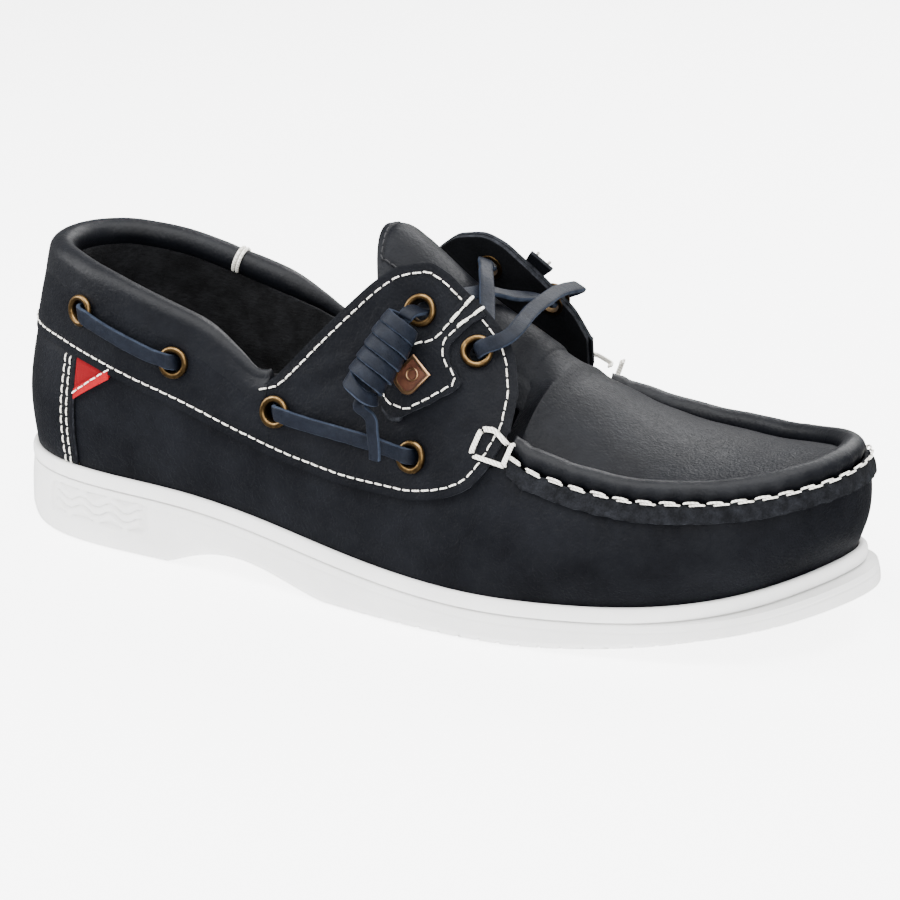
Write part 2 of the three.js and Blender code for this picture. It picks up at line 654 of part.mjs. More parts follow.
// ---------- collar rolls and foam ----------
function collarRoll(from, to) {
  const radius = rollDiameter / 2;
  const rings = stationsBetween(from, to).map((u) => {
    const top = flapV(u) + vOf(u, radius + layerGap);
    const centre = upperPoint(u, top, overlayOutside - radius);
    const normal = lastNormal(u, top);
    const along = lastPoint(u + 0.05, flapV(u + 0.05)).sub(lastPoint(u - 0.05, flapV(u - 0.05)));
    const up = normal.clone().cross(along.normalize()).normalize();
    return Array.from({ length: 10 }, (_, k) => {
      const angle = (2 * Math.PI * k) / 10;
      return centre.clone().addScaledVector(normal, radius * Math.cos(angle))
        .addScaledVector(up, -radius * Math.sin(angle));
    });
  });
  return loft(rings, false);
}
const collarFrontInner = innerU(104, 72);
add('collar_roll_outer', collarRoll(jointU + jointGap, collarFront), 'navyLeather');
add('collar_roll_inner', collarRoll(collarFrontInner, jointU - jointGap), 'navyLeather');

// ---------- collar lace ----------
// One flat thong: outside between eyelets, in a tunnel behind the overlay elsewhere.
const eyeletAt = (side, spot) => eyelets.find((e) => e.side === side && e.spot === spot);
const boreSteps = [-2.4, -1.2, 0, 1.2];

// Points from the middle of an eyelet's bore to a lace run at offset `level` towards (u, v).
function bendFrom(eyelet, towards, level) {
  const start = upperPoint(eyelet.u, eyelet.v, 0);
  const normal = lastNormal(eyelet.u, eyelet.v);
  const run = upperPoint(towards[0], towards[1], 0).sub(start);
  run.addScaledVector(normal, -run.dot(normal)).normalize();
  const radius = Math.abs(level) > 3 ? 3.3 : 1.9;
  const sign = Math.sign(level);
  const straight = Math.abs(level) - radius;
  return [30, 60, 90].map((degrees) => {
    const angle = THREE.MathUtils.degToRad(degrees);
    return start.clone()
      .addScaledVector(normal, sign * (straight + radius * Math.sin(angle)))
      .addScaledVector(run, radius * (1 - Math.cos(angle)));
  });
}

function laceRun(from, to, level, steps) {
  const share = (t) => [mix(from.u, to.u, t), mix(from.v, to.v, t)];
  const middle = [];
  for (let i = 1; i < steps; i++) {
    const [u, v] = share(mix(0.16, 0.84, (i - 1) / Math.max(1, steps - 2)));
    middle.push(upperPoint(u, v, level));
  }
  return [...bendFrom(from, share(0.2), level), ...middle, ...bendFrom(to, share(0.8), level).reverse()];
}

function collarLacePoints() {
  const [a, b, c, d] = ['low_front', 'low_rear', 'middle', 'rear'].map((s) => eyeletAt('outer', s));
  const [h, g, f, e] = ['low_front', 'low_rear', 'middle', 'rear'].map((s) => eyeletAt('inner', s));
  const inTip = (eyelet) => [-9, -5, -1].map((out) => upperPoint(eyelet.u, eyelet.v, out));
  const bore = (eyelet) => [upperPoint(eyelet.u, eyelet.v, 0.8)];
  return [
    ...inTip(a), ...bore(a), ...laceRun(a, b, laceRise, 6), ...bore(b), ...laceRun(b, c, -tunnelDepth, 5),
    ...bore(c), ...laceRun(c, d, laceRise, 4), ...bore(d), ...laceRun(d, e, -tunnelDepth, 12), ...bore(e),
    ...laceRun(e, f, laceRise, 4), ...bore(f), ...laceRun(f, g, -tunnelDepth, 5), ...bore(g),
    ...laceRun(g, h, laceRise, 6), ...bore(h), ...inTip(h).reverse(),
  ];
}

// Nearest normal of the upper, for the width direction of a lace that lies on it.
function uprightAcross(points) {
  const up = V(0, 0, 1);
  return (i) => {
    const ahead = points[Math.min(i + 4, points.length - 1)];
    const behind = points[Math.max(i - 4, 0)];
    const along = ahead.clone().sub(behind).setZ(0).normalize();
    return up.clone().addScaledVector(along, 0.25);
  };
}
const collarLine = collarLacePoints();
const collarAcross = uprightAcross(collarLine);
const collarLace = strip(collarLine, collarAcross, laceWidth, laceThickness);
add('collar_lace', collarLace, 'lace');

const tunnelTool = strip(collarLine, collarAcross, laceWidth + 1.4, laceThickness + 1.4);
function foamPad(from, to) {
  const pad = upperPiece({
    from, to, low: (u) => wrapHeelV(u) + vOf(u, 0.6), high: flapV, rows: 2,
    inside: -foamThickness, outside: 0,
  });
  const pockets = eyelets.filter((e) => e.u > from && e.u < to && !throughFlap.includes(e.spot));
  return cut(pad, [tunnelTool, ...pockets.map(pocketTool)]);
}
add('collar_foam_outer', foamPad(jointU + jointGap, collarFront - 0.05), 'foam');
add('collar_foam_inner', foamPad(collarFrontInner + 0.05, jointU - jointGap), 'foam');

// ---------- moccasin seam ----------
const ringFrom = outerU(200, 58);
const ringTo = innerU(200, 58) + stationCount;
const ringStations = stationsBetween(ringFrom, ringTo);
const seamRollRadius = seamRollDiameter / 2;
function ringTube(radius, rise, inward, sides) {
  return loft(ringStations.map((u) => {
    const v = ringV(u);
    const centre = upperPoint(u, v, 0).add(V(0, 0, rise));
    const flat = lastNormal(u, 0.1).setZ(0).normalize();
    centre.addScaledVector(flat, -inward);
    return Array.from({ length: sides }, (_, k) => {
      const angle = (2 * Math.PI * k) / sides;
      return centre.clone().addScaledVector(flat, radius * Math.cos(angle))
        .add(V(0, 0, radius * Math.sin(angle)));
    });
  }), false);
}
const rollRise = 2.4;
const rollInward = 4.6;
add('seam_roll', ringTube(seamRollRadius, rollRise, rollInward, 10), 'navyLeather');
add('seam_thread', ringTube(seamThread / 2, 0.75, -1.3, 6), 'thread');
add('apron_skirt', upperPiece({
  from: ringFrom, to: ringTo, low: (u) => ringV(u) - vOf(u, 5.2), high: (u) => ringV(u) - vOf(u, 0.9),
  rows: 1, inside: overlayInside, outside: overlayOutside,
}), 'darkLeather');

// ---------- apron and tongue ----------
const crownAt = curveThrough([[192, 17.5], [207, 14.5], [222, 10.5], [243, 6.5], [262, 4.2], [276, 2.5],
  [290, 1.2]].map(([x, z]) => [x * lengthScale, z * instepHeight]));
const apronInward = rollInward + seamRollRadius + 0.35;
function apronEdge(u) {
  const edge = upperPoint(u, ringV(u), 0);
  const flat = lastNormal(u, 0.1).setZ(0).normalize();
  return edge.addScaledVector(flat, -apronInward).add(V(0, 0, rollRise - 1));
}

const hinge = V(189 * lengthScale, 0, rimHeight(8) + 66.5 * instepHeight);
const tongueCrown = 16.5;
const tongueRoot = (b) => hinge.clone().add(V(0, (-tongueWidth / 2) * -b, -tongueCrown * b * b));

function apron() {
  const rows = 13;
  const rootRows = 2; // the last rows reach back under the flaps to the tongue
  const columns = 6;
  const last = halfCount - 0.42;
  const surface = (drop) => Array.from({ length: rows + 1 }, (_, r) => {
    const u = mix(ringFrom, last, Math.max(0, r - rootRows) / (rows - rootRows));
    const [near, far] = [apronEdge(u), apronEdge(stationCount - u)];
    const root = Math.max(0, rootRows - r) / rootRows;
    return Array.from({ length: columns + 1 }, (_, c) => {
      const b = (2 * c) / columns - 1;
      const place = near.clone().lerp(far, (b + 1) / 2);
      place.z += crownAt(place.x) * (1 - b * b);
      return place.lerp(tongueRoot(b), root).add(V(0, 0, -drop));
    }).reverse();
  });
  return plate(surface(0), surface(apronThickness));
}
add('apron', apron(), 'navyLeather');

const tongueRidge = [[0, 0], [10, 5.6], [20, 10.8], [30, 17.2], [40, 24.6], [48, 30.5], [54, 33.5], [58.5, 32.5]];
const tongueCorner = 7; // how far the corners of its free end are rounded back
function tongue() {
  const ridge = new THREE.CatmullRomCurve3(tongueRidge.map(([back, up]) => V(-back - hingeGap, 0, up)));
  const rows = 10;
  const columns = 6;
  const surface = (drop) => Array.from({ length: rows + 1 }, (_, r) => {
    const place = ridge.getPoint(r / rows);
    const slope = ridge.getTangent(r / rows);
    const below = V(slope.z, 0, -slope.x).multiplyScalar(Math.sign(-slope.x) * -drop);
    return Array.from({ length: columns + 1 }, (_, c) => {
      const b = (2 * c) / columns - 1;
      const across = (tongueWidth / 2) * b * mix(1, 0.93, r / rows);
      const corner = tongueCorner * (r / rows) ** 3 * b ** 2;
      return place.clone().add(below).add(V(corner, across, -tongueCrown * b * b)).add(hinge);
    });
  });
  return plate(surface(0), surface(tongueThickness));
}
add('tongue', tongue(), 'navyLeather');

// ---------- eyelets, tab and badge ----------
for (const e of eyelets) {
  add(e.name, standOnUpper(eyeletRing(e.back), e.u, e.v), 'brass');
}

const tabThickness = 0.8;
const tabFrom = counterU + 0.03;
const tabTo = outerU(45, 62);
const tabLow = curveThrough([[tabFrom, locate([31.5, 51], 'outer')[1]],
  [tabTo, seamV(tabTo) - vOf(tabTo, 1.2)]]);
add('red_tab', upperPiece({
  from: tabFrom, to: tabTo, low: tabLow, high: (u) => seamV(u) - vOf(u, layerGap),
  rows: 2, inside: overlayInside, outside: overlayInside + tabThickness,
}), 'red');

function badge() {
  const half = badgeSize / 2;
  const shape = new THREE.Shape();
  shape.moveTo(0, half);
  shape.lineTo(half * 0.95, half * 0.35);
  shape.lineTo(half * 0.75, -half * 0.6);
  shape.quadraticCurveTo(half * 0.3, -half, 0, -half);
  shape.quadraticCurveTo(-half * 0.3, -half, -half * 0.75, -half * 0.6);
  shape.lineTo(-half * 0.95, half * 0.35);
  const body = new THREE.ExtrudeGeometry(shape, { depth: badgeThickness, bevelEnabled: false, curveSegments: 4 });
  return body.rotateX(-Math.PI / 2);
}
const [badgeU, badgeV] = locate([159, 77.5], 'outer');
add('badge', standOnUpper(badge(), badgeU, badgeV, patchOutside + layerGap + 0.3), 'brass');

// ---------- front lace ----------
// From the outer knot under the flaps, across the outside as a bar, and back to the inner knot.
const insideLevel = -(leather + 2.9); // middle of the lace where it runs behind a flap
const flapRim = [184.5, 90.5]; // where the bar passes over the front edge of a flap
const barBow = 5.5; // the bar's bow above its two ends
const crossingRise = [2, 5]; // the two hidden strands above the tongue, one over the other

// Where a barrel knot starts, below its eyelet, and the direction in which it hangs.
function knotHang(side) {
  const e = eyeletAt(side, 'flap_upper');
  const normal = lastNormal(e.u, e.v);
  const head = upperPoint(e.u, e.v, patchOutside + knotDiameter / 2).add(V(-2, 0, -2.8));
  const axis = V(-0.4, 0, -1).projectOnPlane(normal).normalize();
  return { head, axis: axis.addScaledVector(normal, knotLean).normalize() };
}

function frontLace() {
  const spots = []; // centre and width direction of the lace
  const put = (centre, wide) => {
    const last = spots[spots.length - 1];
    if (last && last.centre.distanceTo(centre) < 0.5) return;
    const before = last ? last.wide : wide;
    spots.push({ centre, wide: wide.dot(before) < 0 ? wide.clone().negate() : wide });
  };
  const eyeletOn = (side, row) => eyeletAt(side, `flap_${row}`);
  const rim = (side) => {
    const [u, v] = locate(flapRim, side);
    return [side === 'outer' ? u : u - stationCount, v];
  };
  const turn = (e, towards, level, leaving) => {
    const normal = lastNormal(e.u, e.v);
    const bend = bendFrom(e, towards, level);
    const wide = bend[2].clone().sub(bend[0]).cross(normal).normalize();
    const centres = [upperPoint(e.u, e.v, 0), ...bend];
    for (const centre of leaving ? centres : centres.reverse()) put(centre, wide);
  };
  const crossing = (from, to, rise) => {
    turn(from, [from.u, from.v + 0.12], insideLevel, true);
    const [start, end] = [from, to].map((e) => upperPoint(e.u, e.v + 0.1, insideLevel));
    for (const t of [0.3, 0.5, 0.7]) {
      const spot = start.clone().lerp(end, t);
      const ridge = hinge.z + tongueThickness / 2 + (hinge.x - spot.x) * 0.57;
      const side = Math.abs(spot.y) / (tongueWidth / 2);
      put(spot.setZ(ridge + rise - tongueCrown * side * side * 0.55), V(1, 0, -0.5));
    }
    turn(to, [to.u, to.v + 0.12], insideLevel, false);
  };
  const start = eyeletOn('outer', 'upper');
  const end = eyeletOn('inner', 'upper');
  const tie = (side) => {
    const { head, axis } = knotHang(side);
    const e = eyeletOn(side, 'upper');
    const ends = [head.addScaledVector(axis, -2 * knotGap), upperPoint(e.u, e.v, 3.4)];
    for (const spot of side === 'outer' ? ends : ends.reverse()) put(spot, V(1, 0, -0.5));
  };
  tie('outer');
  crossing(start, eyeletOn('inner', 'lower'), crossingRise[0]);
  const ends = ['inner', 'outer'].map((side) => upperPoint(...rim(side), laceRise + 0.4));
  turn(eyeletOn('inner', 'lower'), rim('inner'), laceRise, true);
  for (const t of [0, 0.25, 0.5, 0.75, 1]) {
    const bow = Math.sin(Math.PI * t);
    put(ends[0].clone().lerp(ends[1], t).add(V(2.5 * bow, 0, barBow * bow)), V(1, 0, -0.5));
  }
  turn(eyeletOn('outer', 'lower'), rim('outer'), laceRise, false);
  crossing(eyeletOn('outer', 'lower'), end, crossingRise[1]);
  tie('inner');
  const path = new THREE.CatmullRomCurve3(spots.map((spot) => spot.centre));
  const widths = new THREE.CatmullRomCurve3(spots.map((spot) => spot.wide));
  const steps = 2 * (spots.length - 1);
  const centres = path.getPoints(steps);
  return strip(centres, (i) => widths.getPoint(i / steps), laceWidth, laceThickness);
}
add('front_lace', frontLace(), 'lace');

// ---------- barrel knots and lace tails ----------
for (const side of ['outer', 'inner']) {
  const sign = side === 'outer' ? -1 : 1;
  const { head, axis } = knotHang(side);
  const profile = [new THREE.Vector2(0, 0)];
  const pitch = knotLength / knotTurns;
  for (let turn = 0; turn < knotTurns; turn++) {
    const fullness = turn === 0 || turn === knotTurns - 1 ? 0.9 : 1;
    const radius = (knotDiameter / 2) * fullness;
    const start = turn === 0 ? headTaper : 0.02;
    profile.push(new THREE.Vector2(radius - 0.9, pitch * (turn + start)));
    profile.push(new THREE.Vector2(radius, pitch * (turn + start + 0.23)));
    profile.push(new THREE.Vector2(radius, pitch * (turn + 0.75)));
  }
  profile.push(new THREE.Vector2(knotDiameter / 2 - 2, knotLength), new THREE.Vector2(0, knotLength));
  const barrel = new THREE.LatheGeometry(profile, 12);
  barrel.applyQuaternion(new THREE.Quaternion().setFromUnitVectors(V(0, 1, 0), axis));
  barrel.translate(head.x, head.y, head.z);
  add(`knot_${side}`, barrel, 'lace');
  const foot = head.clone().addScaledVector(axis, knotLength + knotGap);
  const tail = new THREE.CatmullRomCurve3([foot, foot.clone().addScaledVector(axis, 3),
    foot.clone().add(V(1.5, sign * 2.6, -0.45 * tailDrop)),
    foot.clone().add(V(2.4, sign * 2.8, -tailDrop))]).getPoints(8);
  add(`lace_tail_${side}`, strip(tail, () => V(1, 0, 0), laceWidth, laceThickness, 8), 'lace');
}

// The origin is the middle of the footprint.
const box = new THREE.Box3().setFromObject(group);
const middle = box.getCenter(V(0, 0, 0));
for (const mesh of group.children) mesh.position.set(-middle.x, -middle.y, -box.min.z);

export default group;
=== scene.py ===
# Low deck shoe, right foot: the fine leather, stitching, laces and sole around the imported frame.
import math

import bmesh
import bpy
import numpy as np
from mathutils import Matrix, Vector, noise


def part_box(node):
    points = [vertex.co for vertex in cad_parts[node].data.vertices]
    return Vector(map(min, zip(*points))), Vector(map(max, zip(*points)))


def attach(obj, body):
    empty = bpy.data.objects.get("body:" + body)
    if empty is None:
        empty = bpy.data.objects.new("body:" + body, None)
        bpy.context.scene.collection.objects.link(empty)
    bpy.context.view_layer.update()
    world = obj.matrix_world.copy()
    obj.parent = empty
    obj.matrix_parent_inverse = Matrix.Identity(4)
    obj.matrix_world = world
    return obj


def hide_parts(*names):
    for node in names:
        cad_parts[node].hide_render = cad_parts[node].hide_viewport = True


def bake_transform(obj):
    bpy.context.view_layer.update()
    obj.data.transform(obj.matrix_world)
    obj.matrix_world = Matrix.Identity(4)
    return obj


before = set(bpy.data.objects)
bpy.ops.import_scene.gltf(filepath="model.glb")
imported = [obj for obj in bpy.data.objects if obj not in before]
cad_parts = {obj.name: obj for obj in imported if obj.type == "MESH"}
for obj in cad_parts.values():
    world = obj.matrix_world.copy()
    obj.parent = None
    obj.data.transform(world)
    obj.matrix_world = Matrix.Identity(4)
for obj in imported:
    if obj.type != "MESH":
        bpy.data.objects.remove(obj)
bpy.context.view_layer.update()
mm = 0.001

# The frame's origin in the last's own numbers: x from the heel, y from its middle, in millimetres.
shankLow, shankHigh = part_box("shank")
origin = np.array([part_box("outsole")[0].x / mm + 0.8, (shankLow.y + shankHigh.y) / 2 / mm + 3, 0])


def toFrame(points):
    return (np.asarray(points, float) + origin) * mm


# camera
camera = {"azimuth": 25, "elevation": 20, "distance": 1400, "lens": 170.9,
          "target": (150, 0, 45), "sideways": 2.4, "downwards": 4.65}


def makeCamera():
    a, e = math.radians(camera["azimuth"]), math.radians(camera["elevation"])
    back = Vector((math.sin(a) * math.cos(e), -math.cos(a) * math.cos(e), math.sin(e)))
    right = Vector((math.cos(a), math.sin(a), 0))
    up = back.cross(right)
    target = Vector(toFrame(camera["target"]))
    aim = target + right * camera["sideways"] * mm - up * camera["downwards"] * mm
    cam = bpy.data.objects.new("camera", bpy.data.cameras.new("camera"))
    cam.data.lens = camera["lens"]
    cam.data.sensor_width = 36
    cam.data.clip_start = 0.05
    cam.location = aim + back * camera["distance"] * mm
    cam.rotation_mode = "QUATERNION"
    cam.rotation_quaternion = (-back).to_track_quat("-Z", "Y")
    bpy.context.scene.collection.objects.link(cam)
    bpy.context.scene.camera = cam


makeCamera()

# the last
last = {
    "featherInset": 2.7,  # rim of the sole to the upper
    "rimBand": 5,
    "roll": 4.15,  # radius of the collar roll
    # x, outer and inner edge of the rim, rim height, last height, then the upper's lean at four heights
    "sections": [
        [0, 0, 0, 26.8, 104, [-1.2, -3.6, -7.4, -12], [-1.2, -3.6, -7.4, -12]],
        [6.5, -19, 19, 26.8, 104, [-1, -3.6, -7, -11.5], [-1, -3.6, -7, -11.5]],
        [24, -31.3, 31.5, 26.8, 104, [-1, -4.2, -7, -10.2], [-0.8, -3.8, -6.5, -10]],
        [47, -36.3, 36, 26.5, 104, [-1.6, -2.8, -5.3, -9], [-1, -2, -5, -9]],
        [74, -39, 34.8, 25.7, 100, [-2, -4.2, -7.3, -11], [0, -0.4, -2.3, -6.5]],
        [102, -43, 31.8, 23, 100, [-3.3, -6, -11, -16], [1.2, 1.8, 0.8, -3.5]],
        [130, -49, 31.3, 19.6, 108, [-5.4, -10.2, -16, -22.5], [0.8, 0.8, -2.2, -8]],
        [159, -54.5, 37, 16.8, 114, [-6.2, -12.6, -23, -33.5], [-1, -4, -11, -18.5]],
        [188, -56.8, 45.6, 15.5, 100, [-3.6, -10, -23, -37], [-2.2, -7.6, -16.5, -27]],
        [216, -54.1, 49.8, 15.8, 72, [0, -4, -12, -24], [0, -4.2, -12, -24]],
        [243, -49, 47, 17.8, 66, [0.2, -2, -8.5, -20], [0.2, -2.4, -9, -21]],
        [268, -37.5, 36.5, 21.5, 66, [0.6, -0.4, -4.8, -15], [0.4, -0.8, -5.4, -15]],
        [286.5, -19, 21, 26, 68, [1.4, 2, -0.6, -10], [1.2, 1.6, -1, -10.5]],
        [295.6, 3, 3, 28.6, 68, [0.4, 0.6, -2.2, -12], [0.4, 0.6, -2.2, -12]],
    ],
}
half = len(last["sections"]) - 1
full = 2 * half


def smooth(t):
    t = np.clip(t, 0, 1)
    return t * t * (3 - 2 * t)


def mix(a, b, t):
    return a + (b - a) * t


def closedCurve(values):
    values = np.array(values, float)
    n = len(values)
    ring = 4 * np.eye(n) + np.roll(np.eye(n), 1, 0) + np.roll(np.eye(n), -1, 0)
    bend = np.linalg.solve(ring, 6 * (np.roll(values, -1) - 2 * values + np.roll(values, 1)))

    def at(t):
        i = np.floor(t).astype(int)
        f = t - i
        a, b, g = i % n, (i + 1) % n, 1 - f
        return values[a] * g + values[b] * f + ((g**3 - g) * bend[a] + (f**3 - f) * bend[b]) / 6

    return at


def curveThrough(points):
    # smooth y(x) through given points that never overshoots them
    p = np.array(sorted((tuple(q) for q in points), key=lambda q: q[0]), float)
    gap = np.diff(p[:, 0])
    slope = np.diff(p[:, 1]) / gap
    product = slope[:-1] * slope[1:]
    inner = np.where(product > 0, 2 * product / np.where(product > 0, slope[:-1] + slope[1:], 1), 0)
    tangent = np.concatenate([[slope[0]], inner, [slope[-1]]])

    def at(x):
        x = np.asarray(x, float)
        i = np.clip(np.searchsorted(p[:, 0], x, "left") - 1, 0, len(gap) - 1)
        h = gap[i]
        t = np.clip((x - p[i, 0]) / h, 0, 1)
        value = (2 * t**3 - 3 * t**2 + 1) * p[i, 1] + (3 * t**2 - 2 * t**3) * p[i + 1, 1]
        return value + h * ((t**3 - 2 * t**2 + t) * tangent[i] + (t**3 - t**2) * tangent[i + 1])

    return at


def around(pick):
    rows = [last["sections"][full - i if i > half else i] for i in range(full)]
    return closedCurve([pick(row, i > half) for i, row in enumerate(rows)])


rimX = around(lambda s, inner: s[0])
rimY = around(lambda s, inner: s[2] if inner else s[1])
rimHeight = around(lambda s, inner: s[3])
lastHeight = around(lambda s, inner: s[4])
leans = [around(lambda s, inner, k=k: s[6 if inner else 5][k]) for k in range(4)]
openBend = np.linalg.inv(4 * np.eye(3) + np.eye(3, k=1) + np.eye(3, k=-1)) @ (
    6 * (np.eye(3, 5) - 2 * np.eye(3, 5, k=1) + np.eye(3, 5, k=2)))


def rimPoint(u, out, z):
    u, out, z = np.broadcast_arrays(np.asarray(u, float), out, z)
    step = 0.02
    tx, ty = rimX(u + step) - rimX(u - step), rimY(u + step) - rimY(u - step)
    length = np.hypot(tx, ty)
    return np.stack([rimX(u) + out * ty / length, rimY(u) - out * tx / length, z], -1)


def lastPoint(u, v):
    u, v = np.broadcast_arrays(np.asarray(u, float), np.asarray(v, float))
    offsets = np.stack([np.full(u.shape, -last["featherInset"])] + [lean(u) for lean in leans])
    bend = np.zeros_like(offsets)
    bend[1:4] = np.tensordot(openBend, offsets, 1)
    t = np.maximum(v, 0) * 4
    i = np.clip(np.floor(t).astype(int), 0, 3)
    f = t - i
    g = 1 - f

    def pick(rows, k):
        return np.take_along_axis(rows, k[None], 0)[0]

    out = pick(offsets, i) * g + pick(offsets, i + 1) * f
    out = out + ((g**3 - g) * pick(bend, i) + (f**3 - f) * pick(bend, i + 1)) / 6
    return rimPoint(u, out, mix(rimHeight(u), lastHeight(u), v))


def unit(vectors):
    return vectors / np.maximum(np.linalg.norm(vectors, axis=-1, keepdims=True), 1e-9)


def lastNormal(u, v):
    u, v = np.asarray(u, float), np.asarray(v, float)
    du = lastPoint(u + 0.03, v) - lastPoint(u - 0.03, v)
    dv = lastPoint(u, v + 0.012) - lastPoint(u, v - 0.012)
    return unit(np.cross(du, dv))


def upperPoint(u, v, out):
    return lastPoint(u, v) + lastNormal(u, v) * np.asarray(out, float)[..., None]


def share(u, height):
    return height / (lastHeight(u) - rimHeight(u))


def locate(spot, side):
    x, z = spot
    rows = last["sections"]
    i = next(k for k, row in enumerate(rows) if row[0] > x)
    start = i - 1 + (x - rows[i - 1][0]) / (rows[i][0] - rows[i - 1][0])
    u = np.array(start if side == "outer" else full - start)
    for _ in range(12):
        v = (z - rimHeight(u)) / (lastHeight(u) - rimHeight(u))
        error = x - lastPoint(u, v)[..., 0]
        slope = (lastPoint(u + 0.05, v)[..., 0] - lastPoint(u - 0.05, v)[..., 0]) / 0.1
        u = u + np.clip(error / (slope if abs(slope) > 1e-9 else 1), -0.5, 0.5)
    return float(u), float((z - rimHeight(u)) / (lastHeight(u) - rimHeight(u)))


def heelSpot(spot, side):
    u, v = locate(spot, side)
    return (u if side == "outer" else u - full), v


def heelLine(line):
    points = [(0, share(0.0, line["heel"] - rimHeight(np.array(0.0))))]
    for side in ("outer", "inner"):
        points += [heelSpot(spot, side) for spot in line[side]]
    return curveThrough(points)


lines = {
    "seam": {  # lower edge of the quarter overlay
        "heel": 68,
        "outer": [[19, 66.5], [36, 63.8], [53, 59.5], [72, 54.5], [95, 48.3], [118, 43.4], [141, 41],
                  [158, 41], [171, 43.2], [182, 48], [188, 55], [192.6, 66]],
        "inner": [[19, 66.5], [36, 63.8], [53, 59.5], [72, 54.5], [95, 48.3], [118, 43.4], [138, 41],
                  [154, 41], [167, 43.2], [178, 48], [184, 55], [188.5, 65]],
    },
    "flap": {  # upper edge of the overlay: below the collar roll, then round the lace flap
        "heel": 90.3,
        "outer": [[19, 89.6], [36, 87], [53, 83], [72, 77.5], [90, 71.5], [100, 68.5], [106, 69.5],
                  [112, 75], [120, 84], [133, 98], [140, 105], [147, 110], [156, 112], [163, 109.5],
                  [171, 103.5], [180, 96.5], [188, 87.5], [192.6, 76]],
        "inner": [[19, 89.6], [36, 87], [53, 83], [72, 77.5], [90, 71.5], [100, 68.5], [106, 69.5],
                  [112, 75], [120, 83.5], [132, 96], [139, 102.5], [146, 107], [154, 108.5],
                  [161, 106.5], [168, 101], [176, 93.5], [184, 84.5], [188.5, 74]],
    },
    "wrap": {  # upper edge of the vamp behind the moccasin seam
        "heel": 74,
        "outer": [[19, 72.5], [36, 69.8], [53, 65.5], [72, 60.5], [95, 54.3], [118, 49.4], [141, 47],
                  [158, 47], [171, 49.2], [182, 53], [192, 56.5], [200, 56]],
        "inner": [[19, 72.5], [36, 69.8], [53, 65.5], [72, 60.5], [95, 54.3], [118, 49.4], [138, 47],
                  [154, 47], [167, 49.2], [178, 52], [190, 54.5], [200, 54]],
    },
    # moccasin seam: x, then its height on the outer and on the inner side, and over the toe
    "ring": [[200, 56, 54], [212, 53.2, 51.5], [225, 51.3, 49.5], [243, 50.4, 48.6], [258, 51, 49.3],
             [270, 52.4, 51], [281, 54.3, 53.4], [289, 55.8, 55.4]],
    "ringToe": 57,
}
seamV, flapV, wrapHeelV = (heelLine(lines[name]) for name in ("seam", "flap", "wrap"))
ringV = curveThrough(
    [(half, share(float(half), lines["ringToe"] - rimHeight(np.array(float(half)))))]
    + [locate(row[:2], "outer") for row in lines["ring"]]
    + [locate((row[0], row[2]), "inner") for row in lines["ring"]])
foldEnd = locate((200, 56), "outer")[0]


def wrapV(u):
    u = np.asarray(u, float)
    heel = np.where(u > half, u - full, u)
    return np.where(np.abs(heel) < foldEnd, wrapHeelV(heel), ringV(np.where(u < 0, u + full, u)))

print("last ready")

# making and finishing meshes
def meshObject(name, points, faces, materials=(), uv=None):
    mesh = bpy.data.meshes.new(name)
    mesh.from_pydata(toFrame(points).tolist(), [], [tuple(f) for f in faces])
    for material in materials:
        mesh.materials.append(material)
    if uv is not None:
        layer = mesh.uv_layers.new(name="flow")
        corners = np.zeros(len(mesh.loops), int)
        mesh.loops.foreach_get("vertex_index", corners)
        layer.data.foreach_set("uv", (np.asarray(uv)[corners] * mm).ravel())
    obj = bpy.data.objects.new(name, mesh)
    bpy.context.scene.collection.objects.link(obj)
    return obj


def settle(obj, sharp=42):
    # the modifiers' result becomes the piece's own plain mesh
    bpy.context.view_layer.update()
    mesh = bpy.data.meshes.new_from_object(obj.evaluated_get(bpy.context.evaluated_depsgraph_get()))
    obj.modifiers.clear()
    obj.data = mesh
    mesh.name = obj.name
    mesh.shade_smooth()
    mesh.set_sharp_from_angle(angle=math.radians(sharp))
    return obj


def place(obj, slot, *nodes, body="shoe"):
    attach(obj, body)
    if nodes:
        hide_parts(*nodes)
    return obj


def gridFaces(rows, columns, closed=False, start=0):
    r, c = np.meshgrid(np.arange(rows - 1), np.arange(columns if closed else columns - 1), indexing="ij")
    a = start + r * columns + c
    b = start + r * columns + (c + 1) % columns
    return np.stack([a, b, b + columns, a + columns], -1).reshape(-1, 4)


def spread(start, end, step):
    return np.linspace(start, end, max(2, int(math.ceil(abs(end - start) / step)) + 1))


def ripple(points, size, seed):
    # smooth random number from -1 to 1 at each point, for waves of about this size
    shift = Vector((seed * 7.3, seed * 3.1, seed * 5.7))
    return np.array([noise.noise(Vector(p) / size + shift) for p in points.reshape(-1, 3)]
                    ).reshape(points.shape[:-1])


def grow(obj, thickness, edge):
    solid = obj.modifiers.new("thickness", "SOLIDIFY")
    solid.thickness = thickness * mm
    solid.offset = -1
    solid.use_even_offset = True
    solid.material_offset_rim = 1
    bevel = obj.modifiers.new("edge", "BEVEL")
    bevel.width = edge * mm
    bevel.segments = 2
    bevel.limit_method = "ANGLE"
    bevel.angle_limit = math.radians(50)
    return settle(obj)


